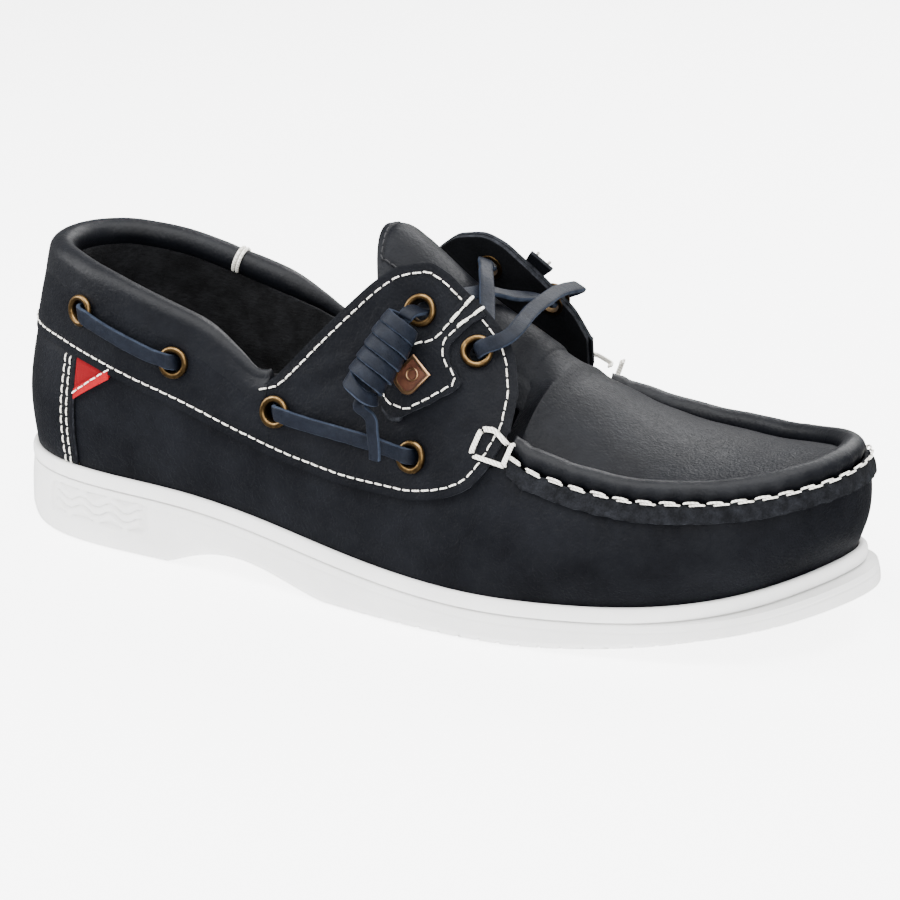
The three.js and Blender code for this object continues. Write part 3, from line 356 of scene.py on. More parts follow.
def gridSheet(name, grid, normals, outside, thickness, materials, holes=(), edge=0.35, relief=None):
    # one sheet of leather or cloth over a grid of points, its rim in the second material
    rows, columns = grid.shape[:2]
    lift = outside if relief is None else outside + relief
    surface = grid + normals * np.broadcast_to(lift, (rows, columns))[..., None]
    across = np.linalg.norm(np.diff(surface, axis=1), axis=2).mean(0)
    along = np.concatenate([[0], np.cumsum(across)])
    up = np.concatenate([np.zeros((1, columns)),
                         np.cumsum(np.linalg.norm(np.diff(surface, axis=0), axis=2), 0)])
    uv = np.stack([np.broadcast_to(along, (rows, columns)), up], -1).reshape(-1, 2)
    points = surface.reshape(-1, 3)
    faces = gridFaces(rows, columns)
    for centre, axis in holes:
        faces = punch(points, faces, centre, axis)
    used = np.zeros(len(points), bool)
    used[faces] = True
    index = np.cumsum(used) - 1
    obj = meshObject(name, points[used], index[faces], materials, uv[used])
    return grow(obj, thickness, edge)


holeRadius = 3.9


def punch(points, faces, centre, axis):
    # a round hole: faces inside it go, and the corners left round it move onto its circle
    away = points - centre
    depth = away @ axis
    flat = away - depth[:, None] * axis
    distance = np.linalg.norm(flat, axis=1)
    near = np.abs(depth) < 6
    middle = points[faces].mean(1) - centre
    level = middle @ axis
    inside = (np.linalg.norm(middle - level[:, None] * axis, axis=1) < holeRadius) & (np.abs(level) < 6)
    kept, gone = faces[~inside], faces[inside]
    if len(gone):
        rim = np.intersect1d(kept, gone)
        rim = rim[(distance[rim] < holeRadius + 1.6) & near[rim]]
        points[rim] = (centre + axis * depth[rim, None]
                       + flat[rim] * (holeRadius / np.maximum(distance[rim], 1e-6))[:, None])
    return kept


def upperSheet(name, us, low, high, step, outside, thickness, materials, holes=(), sculpt=None, edge=0.35):
    rows = max(3, int(np.max((high - low) * (lastHeight(us) - rimHeight(us))) / step) + 1)
    t = np.linspace(0, 1, rows)[:, None]
    u = np.broadcast_to(us, (rows, len(us)))
    v = mix(low[None], high[None], t)
    points, normals = lastPoint(u, v), lastNormal(u, v)
    relief = sculpt(u, v, points) if sculpt else None
    return gridSheet(name, points, normals, outside, thickness, materials, holes, edge, relief)


def outwards(obj, *others):
    # faces turned to look outwards, after any other objects' meshes are added
    bm = bmesh.new()
    for part in (obj, *others):
        bm.from_mesh(part.data)
    bmesh.ops.recalc_face_normals(bm, faces=bm.faces)
    bm.to_mesh(obj.data)
    bm.free()
    return obj


def tube(name, centres, sections, materials, uvWidth=None):
    # a closed body through rings of points, with fans at its two ends
    rings, sides = sections.shape[:2]
    points = np.concatenate([sections.reshape(-1, 3), sections[0].mean(0)[None], sections[-1].mean(0)[None]])
    faces = [tuple(f) for f in gridFaces(rings, sides, True)]
    last0 = (rings - 1) * sides
    faces += [(rings * sides, (k + 1) % sides, k) for k in range(sides)]
    faces += [(rings * sides + 1, last0 + k, last0 + (k + 1) % sides) for k in range(sides)]
    along = np.concatenate([[0], np.cumsum(np.linalg.norm(np.diff(centres, axis=0), axis=1))])
    width = np.linalg.norm(np.diff(sections[0], axis=0), axis=1).sum() if uvWidth is None else uvWidth
    uv = np.stack(np.broadcast_arrays(along[:, None], np.linspace(0, width, sides)[None]), -1).reshape(-1, 2)
    uv = np.concatenate([uv, [[0, 0], [along[-1], 0]]])
    obj = meshObject(name, points, faces, materials, uv)
    return outwards(obj)


def smoothPath(points, step, extra=None):
    # natural cubic curve through points, sampled at even steps; extra values follow along
    points = np.asarray(points, float)
    at = np.concatenate([[0], np.cumsum(np.linalg.norm(np.diff(points, axis=0), axis=1) ** 0.75)])
    n = len(points)
    h = np.diff(at)
    system = np.eye(n)
    right = np.zeros((n, 3))
    for i in range(1, n - 1):
        system[i, i - 1:i + 2] = [h[i - 1], 2 * (h[i - 1] + h[i]), h[i]]
        right[i] = 6 * ((points[i + 1] - points[i]) / h[i] - (points[i] - points[i - 1]) / h[i - 1])
    bend = np.linalg.solve(system, right)

    def value(t):
        i = np.clip(np.searchsorted(at, t, "right") - 1, 0, n - 2)
        f, g = (t - at[i])[:, None], (at[i + 1] - t)[:, None]
        w = h[i][:, None]
        return ((bend[i] * g**3 + bend[i + 1] * f**3) / (6 * w)
                + (points[i] / w - bend[i] * w / 6) * g + (points[i + 1] / w - bend[i + 1] * w / 6) * f)

    fine = np.linspace(0, at[-1], n * 24)
    length = np.concatenate([[0], np.cumsum(np.linalg.norm(np.diff(value(fine), axis=0), axis=1))])
    even = np.interp(spread(0, length[-1], step), length, fine)
    line = value(even)
    if extra is None:
        return line
    return line, np.stack([np.interp(even, at, np.asarray(extra)[:, k]) for k in range(3)], 1)


def framesAlong(line, wide):
    along = unit(np.gradient(line, axis=0))
    wide = unit(wide - (wide * along).sum(1, keepdims=True) * along)
    return along, wide, np.cross(along, wide)


def thread(name, points, radius, material, step, sides=8):
    line = smoothPath(points, step)
    along = unit(np.gradient(line, axis=0))
    side = unit(np.cross(along, np.array([0.31, 0.17, 0.93])))
    top = np.cross(side, along)
    angle = 2 * math.pi * np.arange(sides) / sides
    ends = np.minimum(np.arange(len(line)), np.arange(len(line))[::-1]) * step
    size = radius * np.sqrt(np.clip(ends / radius + 0.15, 0, 1))
    ring = (line[:, None] + size[:, None, None] * (np.cos(angle)[None, :, None] * side[:, None]
                                                   + np.sin(angle)[None, :, None] * top[:, None]))
    obj = tube(name, line, ring, [material])
    obj.data.shade_smooth()
    return obj


def joined(name, objects):
    base = objects[0]
    bm = bmesh.new()
    for obj in objects:
        bm.from_mesh(obj.data)
    bm.to_mesh(base.data)
    bm.free()
    base.name = name
    base.data.name = name
    base.data.shade_smooth()
    for obj in objects[1:]:
        bpy.data.objects.remove(obj)
    return base

# materials
def newMaterial(name, colour, roughness, **sockets):
    material = bpy.data.materials.new(name)
    material.use_nodes = True
    tree = material.node_tree
    shader = tree.nodes["Principled BSDF"]
    shader.inputs["Base Color"].default_value = (*colour, 1)
    shader.inputs["Roughness"].default_value = roughness
    for socket, value in sockets.items():
        shader.inputs[socket.replace("_", " ")].default_value = value
    return material, tree, shader


def node(tree, kind, links=(), **values):
    made = tree.nodes.new(kind)
    for key, value in values.items():
        if key in made.inputs.keys():
            made.inputs[key].default_value = value
        else:
            setattr(made, key, value)
    for socket, source in dict(links).items():
        tree.links.new(source, made.inputs[socket])
    return made


def coordinates(tree, kind="Object"):
    return node(tree, "ShaderNodeTexCoord").outputs[kind]


def stretched(tree, source, scale):
    return node(tree, "ShaderNodeMapping", {"Vector": source}, Scale=scale).outputs["Vector"]


def ramp(tree, source, stops):
    made = node(tree, "ShaderNodeValToRGB", {"Fac": source})
    made.color_ramp.elements[0].position, made.color_ramp.elements[1].position = stops[0][0], stops[-1][0]
    for position, colour in stops[1:-1]:
        made.color_ramp.elements.new(position)
    for element, (position, colour) in zip(made.color_ramp.elements, stops):
        element.color = (*colour, 1) if len(colour) == 3 else colour
    return made.outputs["Color"]


def greyRamp(tree, source, low, high, a, b):
    return ramp(tree, source, [(low, (a, a, a)), (high, (b, b, b))])


def bumpOn(tree, shader, heights):
    # each height: source, strength, depth in millimetres
    normal = None
    for source, strength, depth in heights:
        made = node(tree, "ShaderNodeBump", {"Height": source}, Strength=strength, Distance=depth * mm)
        if normal is not None:
            tree.links.new(normal, made.inputs["Normal"])
        normal = made.outputs["Normal"]
    tree.links.new(normal, shader.inputs["Normal"])


def leatherMaterial(name, dark, light, rough, gloss, grain=1.0, creases=0.6):
    material, tree, shader = newMaterial(name, dark, rough[0], Specular_IOR_Level=gloss)
    place3 = coordinates(tree)
    cloud = node(tree, "ShaderNodeTexNoise", {"Vector": place3}, Scale=55, Detail=5, Roughness=0.62)
    tree.links.new(ramp(tree, cloud.outputs["Fac"], [(0.32, dark), (0.72, light)]),
                   shader.inputs["Base Color"])
    fine = node(tree, "ShaderNodeTexNoise", {"Vector": place3}, Scale=900, Detail=3, Roughness=0.6)
    tree.links.new(greyRamp(tree, fine.outputs["Fac"], 0.3, 0.75, rough[0], rough[1]),
                   shader.inputs["Roughness"])
    pebble = node(tree, "ShaderNodeTexVoronoi", {"Vector": place3}, Scale=1050, feature="SMOOTH_F1",
                  Smoothness=0.6, Randomness=1.0)
    cracks = node(tree, "ShaderNodeTexNoise", {"Vector": place3}, Scale=210, Detail=6, Roughness=0.68,
                  Distortion=0.9)
    ridge = ramp(tree, cracks.outputs["Fac"], [(0.40, (1, 1, 1)), (0.495, (0.1, 0.1, 0.1)),
                                               (0.53, (0.75, 0.75, 0.75)), (0.7, (1, 1, 1))])
    bumpOn(tree, shader, [(cracks.outputs["Fac"], 0.35 * creases, 0.9), (ridge, 0.3 * creases, 0.25),
                          (pebble.outputs["Distance"], 0.32 * grain, 0.25),
                          (fine.outputs["Fac"], 0.25 * grain, 0.12)])
    return material


def rawEdgeMaterial(name, dark, light):
    # the cut flesh side of the hide: paler, fibrous and matt
    material, tree, shader = newMaterial(name, light, 0.85, Specular_IOR_Level=0.08)
    place3 = coordinates(tree)
    fibre = node(tree, "ShaderNodeTexNoise", {"Vector": place3}, Scale=1400, Detail=5, Roughness=0.75)
    patch = node(tree, "ShaderNodeTexNoise", {"Vector": place3}, Scale=300, Detail=3)
    mixed = node(tree, "ShaderNodeMath", {0: fibre.outputs["Fac"], 1: patch.outputs["Fac"]},
                 operation="MULTIPLY")
    tree.links.new(ramp(tree, mixed.outputs[0], [(0.15, dark), (0.42, light)]), shader.inputs["Base Color"])
    bumpOn(tree, shader, [(patch.outputs["Fac"], 0.8, 0.5), (fibre.outputs["Fac"], 1.0, 0.35)])
    return material


def laceMaterial(name, dark, light, rough):
    material, tree, shader = newMaterial(name, dark, rough, Specular_IOR_Level=0.1)
    place3 = coordinates(tree)
    cloud = node(tree, "ShaderNodeTexNoise", {"Vector": place3}, Scale=260, Detail=5, Roughness=0.65)
    tree.links.new(ramp(tree, cloud.outputs["Fac"], [(0.3, dark), (0.75, light)]),
                   shader.inputs["Base Color"])
    fine = node(tree, "ShaderNodeTexNoise", {"Vector": place3}, Scale=1500, Detail=4, Roughness=0.7)
    bumpOn(tree, shader, [(cloud.outputs["Fac"], 0.5, 0.4), (fine.outputs["Fac"], 0.6, 0.2)])
    return material


def threadMaterial(name, colour, shade, rough=0.6):
    material, tree, shader = newMaterial(name, colour, rough, Specular_IOR_Level=0.35)
    place3 = coordinates(tree)
    turned = node(tree, "ShaderNodeMapping", {"Vector": place3}, Rotation=(0.5, 0.7, 0.6)).outputs["Vector"]
    twist = node(tree, "ShaderNodeTexWave", {"Vector": turned}, Scale=420, Distortion=2.5, Detail=2)
    # the grooves between the twisted plies are painted darker in the shade colour: painted shade
    tree.links.new(ramp(tree, twist.outputs["Fac"], [(0.0, shade), (0.55, colour)]),
                   shader.inputs["Base Color"])
    bumpOn(tree, shader, [(twist.outputs["Fac"], 0.5, 0.2)])
    return material


def rubberMaterial():
    material, tree, shader = newMaterial("sole_rubber", (0.64, 0.637, 0.628), 0.42, Specular_IOR_Level=0.45)
    place3 = coordinates(tree)
    cloud = node(tree, "ShaderNodeTexNoise", {"Vector": place3}, Scale=30, Detail=6, Roughness=0.6)
    tree.links.new(ramp(tree, cloud.outputs["Fac"], [(0.3, (0.6, 0.597, 0.588)), (0.7, (0.68, 0.677, 0.67))]),
                   shader.inputs["Base Color"])
    fine = node(tree, "ShaderNodeTexNoise", {"Vector": place3}, Scale=1800, Detail=3)
    tree.links.new(greyRamp(tree, cloud.outputs["Fac"], 0.3, 0.7, 0.38, 0.5), shader.inputs["Roughness"])
    bumpOn(tree, shader, [(fine.outputs["Fac"], 0.25, 0.08), (cloud.outputs["Fac"], 0.15, 0.3)])
    return material


def brassMaterial():
    material, tree, shader = newMaterial("eyelet_brass", (0.4, 0.26, 0.11), 0.3, Metallic=1.0)
    place3 = coordinates(tree)
    patina = node(tree, "ShaderNodeTexNoise", {"Vector": place3}, Scale=420, Detail=5, Roughness=0.65)
    tree.links.new(ramp(tree, patina.outputs["Fac"],
                        [(0.3, (0.05, 0.028, 0.011)), (0.55, (0.15, 0.092, 0.037)),
                                                      (0.8, (0.26, 0.17, 0.075))]),
                                                      shader.inputs["Base Color"])
    tree.links.new(greyRamp(tree, patina.outputs["Fac"], 0.35, 0.7, 0.42, 0.24), shader.inputs["Roughness"])
    bumpOn(tree, shader, [(patina.outputs["Fac"], 0.25, 0.12)])
    return material


def plainMetal(name, colour, rough):
    material, tree, shader = newMaterial(name, colour, rough, Metallic=1.0)
    brushed = node(tree, "ShaderNodeTexNoise",
                   {"Vector": stretched(tree, coordinates(tree), (60, 1800, 900))},
                   Scale=1, Detail=3)
    tree.links.new(greyRamp(tree, brushed.outputs["Fac"], 0.3, 0.7, rough, rough + 0.15),
                   shader.inputs["Roughness"])
    bumpOn(tree, shader, [(brushed.outputs["Fac"], 0.2, 0.05)])
    return material


def enamelMaterial():
    material, tree, shader = newMaterial("badge_enamel", (0.05, 0.02, 0.011), 0.3, Coat_Weight=0.15)
    cloud = node(tree, "ShaderNodeTexNoise", {"Vector": coordinates(tree)}, Scale=500, Detail=3)
    tree.links.new(ramp(tree, cloud.outputs["Fac"],
                        [(0.35, (0.035, 0.013, 0.008)), (0.7, (0.07, 0.028, 0.016))]),
                   shader.inputs["Base Color"])
    bumpOn(tree, shader, [(cloud.outputs["Fac"], 0.1, 0.05)])
    return material


def napMaterial(name, dark, light):
    material, tree, shader = newMaterial(name, dark, 0.95, Specular_IOR_Level=0.05, Sheen_Weight=0.05,
                                         Sheen_Roughness=0.5)
    place3 = coordinates(tree)
    strokes = node(tree, "ShaderNodeTexNoise", {"Vector": stretched(tree, place3, (420, 900, 1500))},
                   Scale=1, Detail=5, Roughness=0.7, Distortion=0.6)
    cloud = node(tree, "ShaderNodeTexNoise", {"Vector": place3}, Scale=130, Detail=4)
    mixed = node(tree, "ShaderNodeMath", {0: strokes.outputs["Fac"], 1: cloud.outputs["Fac"]},
                 operation="MULTIPLY")
    tree.links.new(ramp(tree, mixed.outputs[0], [(0.16, dark), (0.4, light)]), shader.inputs["Base Color"])
    bumpOn(tree, shader, [(cloud.outputs["Fac"], 0.6, 0.8), (strokes.outputs["Fac"], 0.9, 0.45)])
    return material


def clothMaterial(name, dark, light):
    material, tree, shader = newMaterial(name, light, 0.8, Specular_IOR_Level=0.08)
    flow = coordinates(tree, "UV")
    warp = node(tree, "ShaderNodeTexWave", {"Vector": flow}, Scale=900, Distortion=0.6)
    weft = node(tree, "ShaderNodeTexWave", {"Vector": flow}, Scale=900, Distortion=0.6, bands_direction="Y")
    weave = node(tree, "ShaderNodeMath", {0: warp.outputs["Fac"], 1: weft.outputs["Fac"]},
                 operation="MULTIPLY")
    tree.links.new(ramp(tree, weave.outputs[0], [(0.1, dark), (0.6, light)]), shader.inputs["Base Color"])
    bumpOn(tree, shader, [(weave.outputs[0], 0.6, 0.25)])
    return material


def fillingMaterial(name, dark, light, scale):
    material, tree, shader = newMaterial(name, light, 0.9, Specular_IOR_Level=0.2)
    place3 = coordinates(tree)
    crumbs = node(tree, "ShaderNodeTexVoronoi", {"Vector": place3}, Scale=scale)
    tree.links.new(ramp(tree, crumbs.outputs["Distance"], [(0.1, light), (0.8, dark)]),
                   shader.inputs["Base Color"])
    bumpOn(tree, shader, [(crumbs.outputs["Distance"], 0.5, 0.3)])
    return material


hide = ((0.0022, 0.0025, 0.0036), (0.0048, 0.0054, 0.0072))
navy = leatherMaterial("upper_leather", *hide, (0.42, 0.56), 0.07, 1.2, 1.0)
softNavy = leatherMaterial("collar_leather", *hide, (0.36, 0.5), 0.13, 0.6, 0.6)
plugNavy = leatherMaterial("apron_leather", *hide, (0.42, 0.54), 0.08, 1.2, 0.7)
innerBlack = leatherMaterial("flap_lining", (0.003, 0.0032, 0.0038), (0.006, 0.0064, 0.0075), (0.7, 0.85),
                             0.04, 0.8, 0.5)
rawEdge = rawEdgeMaterial("raw_edge", (0.004, 0.0045, 0.006), (0.024, 0.026, 0.031))
fleshSide = rawEdgeMaterial("flesh_side", (0.0025, 0.0028, 0.0036), (0.012, 0.013, 0.016))
bedLeather = leatherMaterial("footbed_leather", (0.003, 0.0032, 0.0037), (0.006, 0.0064, 0.0074),
                             (0.7, 0.85), 0.04, 0.6, 0.3)
laceSkin = laceMaterial("lace_leather", (0.003, 0.0042, 0.0075), (0.0068, 0.009, 0.0148), 0.5)
laceEdge = laceMaterial("lace_edge", (0.008, 0.0115, 0.02), (0.026, 0.035, 0.054), 0.85)
whiteThread = threadMaterial("white_thread", (0.8, 0.78, 0.72), (0.42, 0.4, 0.35))
blackThread = threadMaterial("black_thread", (0.008, 0.008, 0.01), (0.004, 0.004, 0.005))
rubber = rubberMaterial()
brass = brassMaterial()
badgeEdge = plainMetal("badge_metal", (0.34, 0.2, 0.11), 0.28)
enamel = enamelMaterial()
nap = napMaterial("lining_nap", (0.003, 0.0031, 0.0035), (0.014, 0.0144, 0.016))
redCloth = clothMaterial("red_tab", (0.1, 0.001, 0.003), (0.22, 0.003, 0.006))
# the same red cloth made lighter for the raised fold: a painted highlight
redFoldPaintedHighlight = clothMaterial("red_fold_painted_highlight", (0.2, 0.003, 0.006), (0.36, 0.006, 0.012))
foamFill = fillingMaterial("foam", (0.03, 0.03, 0.03), (0.06, 0.06, 0.058), 900)
stiffener = fillingMaterial("stiffener", (0.05, 0.05, 0.055), (0.08, 0.08, 0.085), 1500)
board = fillingMaterial("board", (0.25, 0.17, 0.09), (0.42, 0.3, 0.17), 1200)
cork = fillingMaterial("cork", (0.16, 0.08, 0.03), (0.38, 0.22, 0.1), 420)
steel = plainMetal("shank_steel", (0.45, 0.46, 0.48), 0.3)

for name, (slot, material) in {"cork_filler": ("cork", cork), "shank": ("shank_steel", steel),
                               "insole_board": ("board", board)}.items():
    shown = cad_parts[name]
    shown.data.materials.clear()
    shown.data.materials.append(material)

print("materials ready")

# laces: the knotted ends come first, as free cords
eyeletSpots = {"rear": (32.8, 80.5), "middle": (69.7, 69.5), "low_rear": (109, 59.5),
               "low_front": (161.4, 54.5), "flap_lower": (177, 87.2), "flap_upper": (156.5, 97.6)}
throughFlap = ("low_front", "flap_lower", "flap_upper")
eyelets = {}
for side in ("outer", "inner"):
    for spot, where in eyeletSpots.items():
        eyeletU, eyeletV = heelSpot(where, side)
        eyelets[side, spot] = {"u": eyeletU, "v": eyeletV, "place": lastPoint(eyeletU, eyeletV),
                               "normal": lastNormal(eyeletU, eyeletV)}
lace = {"width": 5.0, "thickness": 1.7, "rise": 4.2, "tunnel": 2.4, "behind": -4.2}
knot = {"radius": 6.2, "turns": 5, "pitch": 4.62, "band": 4.45, "length": 23, "lean": 0.13, "thickness": 1.75,
        "out": 3.4 + 7.2}


def ribbon(name, line, wide, width, thickness, sides=16, materials=None):
    # a flat lace with rounded corners, its cut edges in the second material
    _, wide, thick = framesAlong(line, wide)
    angle = 2 * math.pi * (np.arange(sides) + 0.5) / sides
    across = np.sign(np.cos(angle)) * np.abs(np.cos(angle)) ** 0.42
    over = np.sign(np.sin(angle)) * np.abs(np.sin(angle)) ** 0.42
    width, thickness = (np.broadcast_to(value, len(line))[:, None, None] / 2 for value in (width, thickness))
    ring = (line[:, None] + across[None, :, None] * wide[:, None] * width
            + over[None, :, None] * thick[:, None] * thickness)
    away = unit(ring - line[:, None])
    ring = ring + away * (0.13 * ripple(ring, 5, 71) + 0.07 * ripple(ring, 1.6, 72))[..., None]
    obj = tube(name, line, ring, materials or [laceSkin, laceEdge])
    for face in obj.data.polygons:
        side = (face.index % sides + 1) % (sides // 2)
        if face.index < (len(line) - 1) * sides and side in (0, 1, sides // 2 - 1):
            face.material_index = 1
        elif face.index >= (len(line) - 1) * sides:
            face.material_index = 1
    obj.data.shade_smooth()
    return obj


def knotFrame(side):
    # head of the knot, the way it hangs, and two directions across it: to its eyelet and round from there
    eyelet = eyelets[side, "flap_upper"]
    normal = eyelet["normal"]
    head = eyelet["place"] + normal * knot["out"] + np.array([-2, 0, -2.8])
    axis = np.array([-0.4, 0, -1.0])
    axis = unit(axis - axis.dot(normal) * normal)
    axis = unit(axis + normal * knot["lean"])
    toEyelet = unit(eyelet["place"] - head - (eyelet["place"] - head).dot(axis) * axis)
    return head, axis, toEyelet, np.cross(axis, toEyelet)


def makeKnot(side):
    head, axis, first, second = knotFrame(side)
    sign = -1 if side == "outer" else 1
    forward = np.array([1, 0, -0.4]) - np.array([1, 0, -0.4]).dot(axis) * axis
    forward = unit(forward)
    out = unit(np.cross(axis, forward)) * (1 if np.cross(axis, forward)[1] * sign > 0 else -1)
    spots, wides = [head + axis * 0.2], [second]
    steps = 20
    for k in range(2, steps * knot["turns"] + 1):
        turn = k / steps
        radius = knot["radius"] * min(1, 0.25 + 2.2 * turn) * (0.93 if turn < 1 else 1)
        if turn > knot["turns"] - 0.5:
            radius *= mix(1, 0.82, (turn - knot["turns"] + 0.5) / 0.5)
        angle = 2 * math.pi * turn * sign
        around_ = math.cos(angle) * first + math.sin(angle) * second
        spots.append(head + axis * (1.6 + knot["pitch"] * (turn - 0.08)) + radius * around_)
        wides.append(axis + 0.16 * around_)
    foot = head + axis * (knot["length"] + 0.6)
    # the end comes round in front of the coil's foot and hangs down
    for along, fore, front, wide in ((0.6, -4.6, 1.0, axis), (2.6, -4.4, 3.8, axis),
                                     (4.4, -0.4, 5.4, axis + out * 0.4),
                                     (5.0, 4.0, 3.4, axis + out * 0.6),
                                     (4.0, 5.4, -0.6, axis * 0.6 + forward * 0.6),
                                     (4.6, 2.6, -3.0, forward), (8.0, 1.4, -2.0, forward)):
        spots.append(foot + axis * along + forward * fore + out * front)
        wides.append(wide)
    for drop, fore in ((11, 1.6), (15, 2.6), (20, 3.2), (25.5, 3.4)):
        spots.append(foot + np.array([fore, sign * 2.0, -drop]))
        wides.append(np.array([1.0, 0.25 * sign * (drop - 11) / 14, 0]))
    line, wide = smoothPath(spots, 0.7, wides)
    full_ = np.concatenate([[0], np.cumsum(np.linalg.norm(np.diff(line, axis=0), axis=1))])
    width = mix(knot["band"], 4.0, smooth((full_ - full_[-1] + 45) / 12))
    obj = ribbon("lace_end_" + side, line, wide, width, knot["thickness"])
    place(obj, "lace_leather", "knot_" + side, "lace_tail_" + side, body=side + "_knot")
    tuple(toFrame(head))
    toFrame(line[::2]).tolist()
    print("lace end", side, round(float(full_[-1])), "mm")
    # the strand that the coil is wound on
    t = np.linspace(0, 1, 26)
    core = head + axis * (1.2 + t[:, None] * (knot["length"] + 0.5))
    angle = 2 * math.pi * np.arange(18) / 18
    size = 5.3 * np.sqrt(np.clip(1 - (2 * t - 1) ** 6, 0.1, 1)) * mix(0.6, 1, smooth(t / 0.2))
    ring = core[:, None] + size[:, None, None] * (np.cos(angle)[None, :, None] * first
                                                  + np.sin(angle)[None, :, None] * second)
    place(tube("knot_core_" + side, core, ring, [laceSkin]), "lace_leather", body=side + "_knot")


for side in ("outer", "inner"):
    makeKnot(side)

# floor and light
light = {
    "floor": (0.93, 0.93, 0.935), "world": 0.4, "glow": 3.4,
    # name: place, size across, size along, watts, target; millimetres from the middle of the shoe
    "lamps": {
        "overhead": ((60, -150, 900), 1.2, 0.9, 30, (0, 0, 40)),
        "front": ((500, -800, 520), 0.9, 0.7, 10, (20, 0, 40)),
        "rear": ((-760, -260, 520), 0.5, 0.8, 14, (-60, 0, 50)),
        "rim": ((200, 800, 620), 1.0, 0.5, 16, (0, 0, 60)),
    },
}


def makeStage():
    material, tree, shader = newMaterial("floor", light["floor"], 0.6, Specular_IOR_Level=0.2)
    cloud = node(tree, "ShaderNodeTexNoise", {"Vector": coordinates(tree)}, Scale=2, Detail=3)
    tree.links.new(ramp(tree, cloud.outputs["Fac"], [(0.3, light["floor"]), (0.7, (0.94, 0.94, 0.945))]),
                   shader.inputs["Base Color"])
    shader.inputs["Emission Color"].default_value = (1, 1, 1, 1)
    shader.inputs["Emission Strength"].default_value = light["glow"]
    mesh = bpy.data.meshes.new("floor")
    mesh.from_pydata([(-30, -30, 0), (30, -30, 0), (30, 30, 0), (-30, 30, 0)], [], [(0, 1, 2, 3)])
    mesh.materials.append(material)
    floor = bpy.data.objects.new("floor", mesh)
    bpy.context.scene.collection.objects.link(floor)
    floor.visible_glossy = False
    world = bpy.data.worlds.new("studio")
    world.use_nodes = True
    world.node_tree.nodes["Background"].inputs["Color"].default_value = (1, 1, 1, 1)
    world.node_tree.nodes["Background"].inputs["Strength"].default_value = light["world"]
    bpy.context.scene.world = world
    for name, (spot, across, along, power, target) in light["lamps"].items():
        lamp = bpy.data.objects.new(name, bpy.data.lights.new(name, "AREA"))
        lamp.data.shape = "RECTANGLE"
        lamp.data.size, lamp.data.size_y, lamp.data.energy = across, along, power
        lamp.location = Vector(spot) * mm
        lamp.rotation_mode = "QUATERNION"
        lamp.rotation_quaternion = (Vector(target) * mm - lamp.location).to_track_quat("-Z", "Y")
        bpy.context.scene.collection.objects.link(lamp)


makeStage()

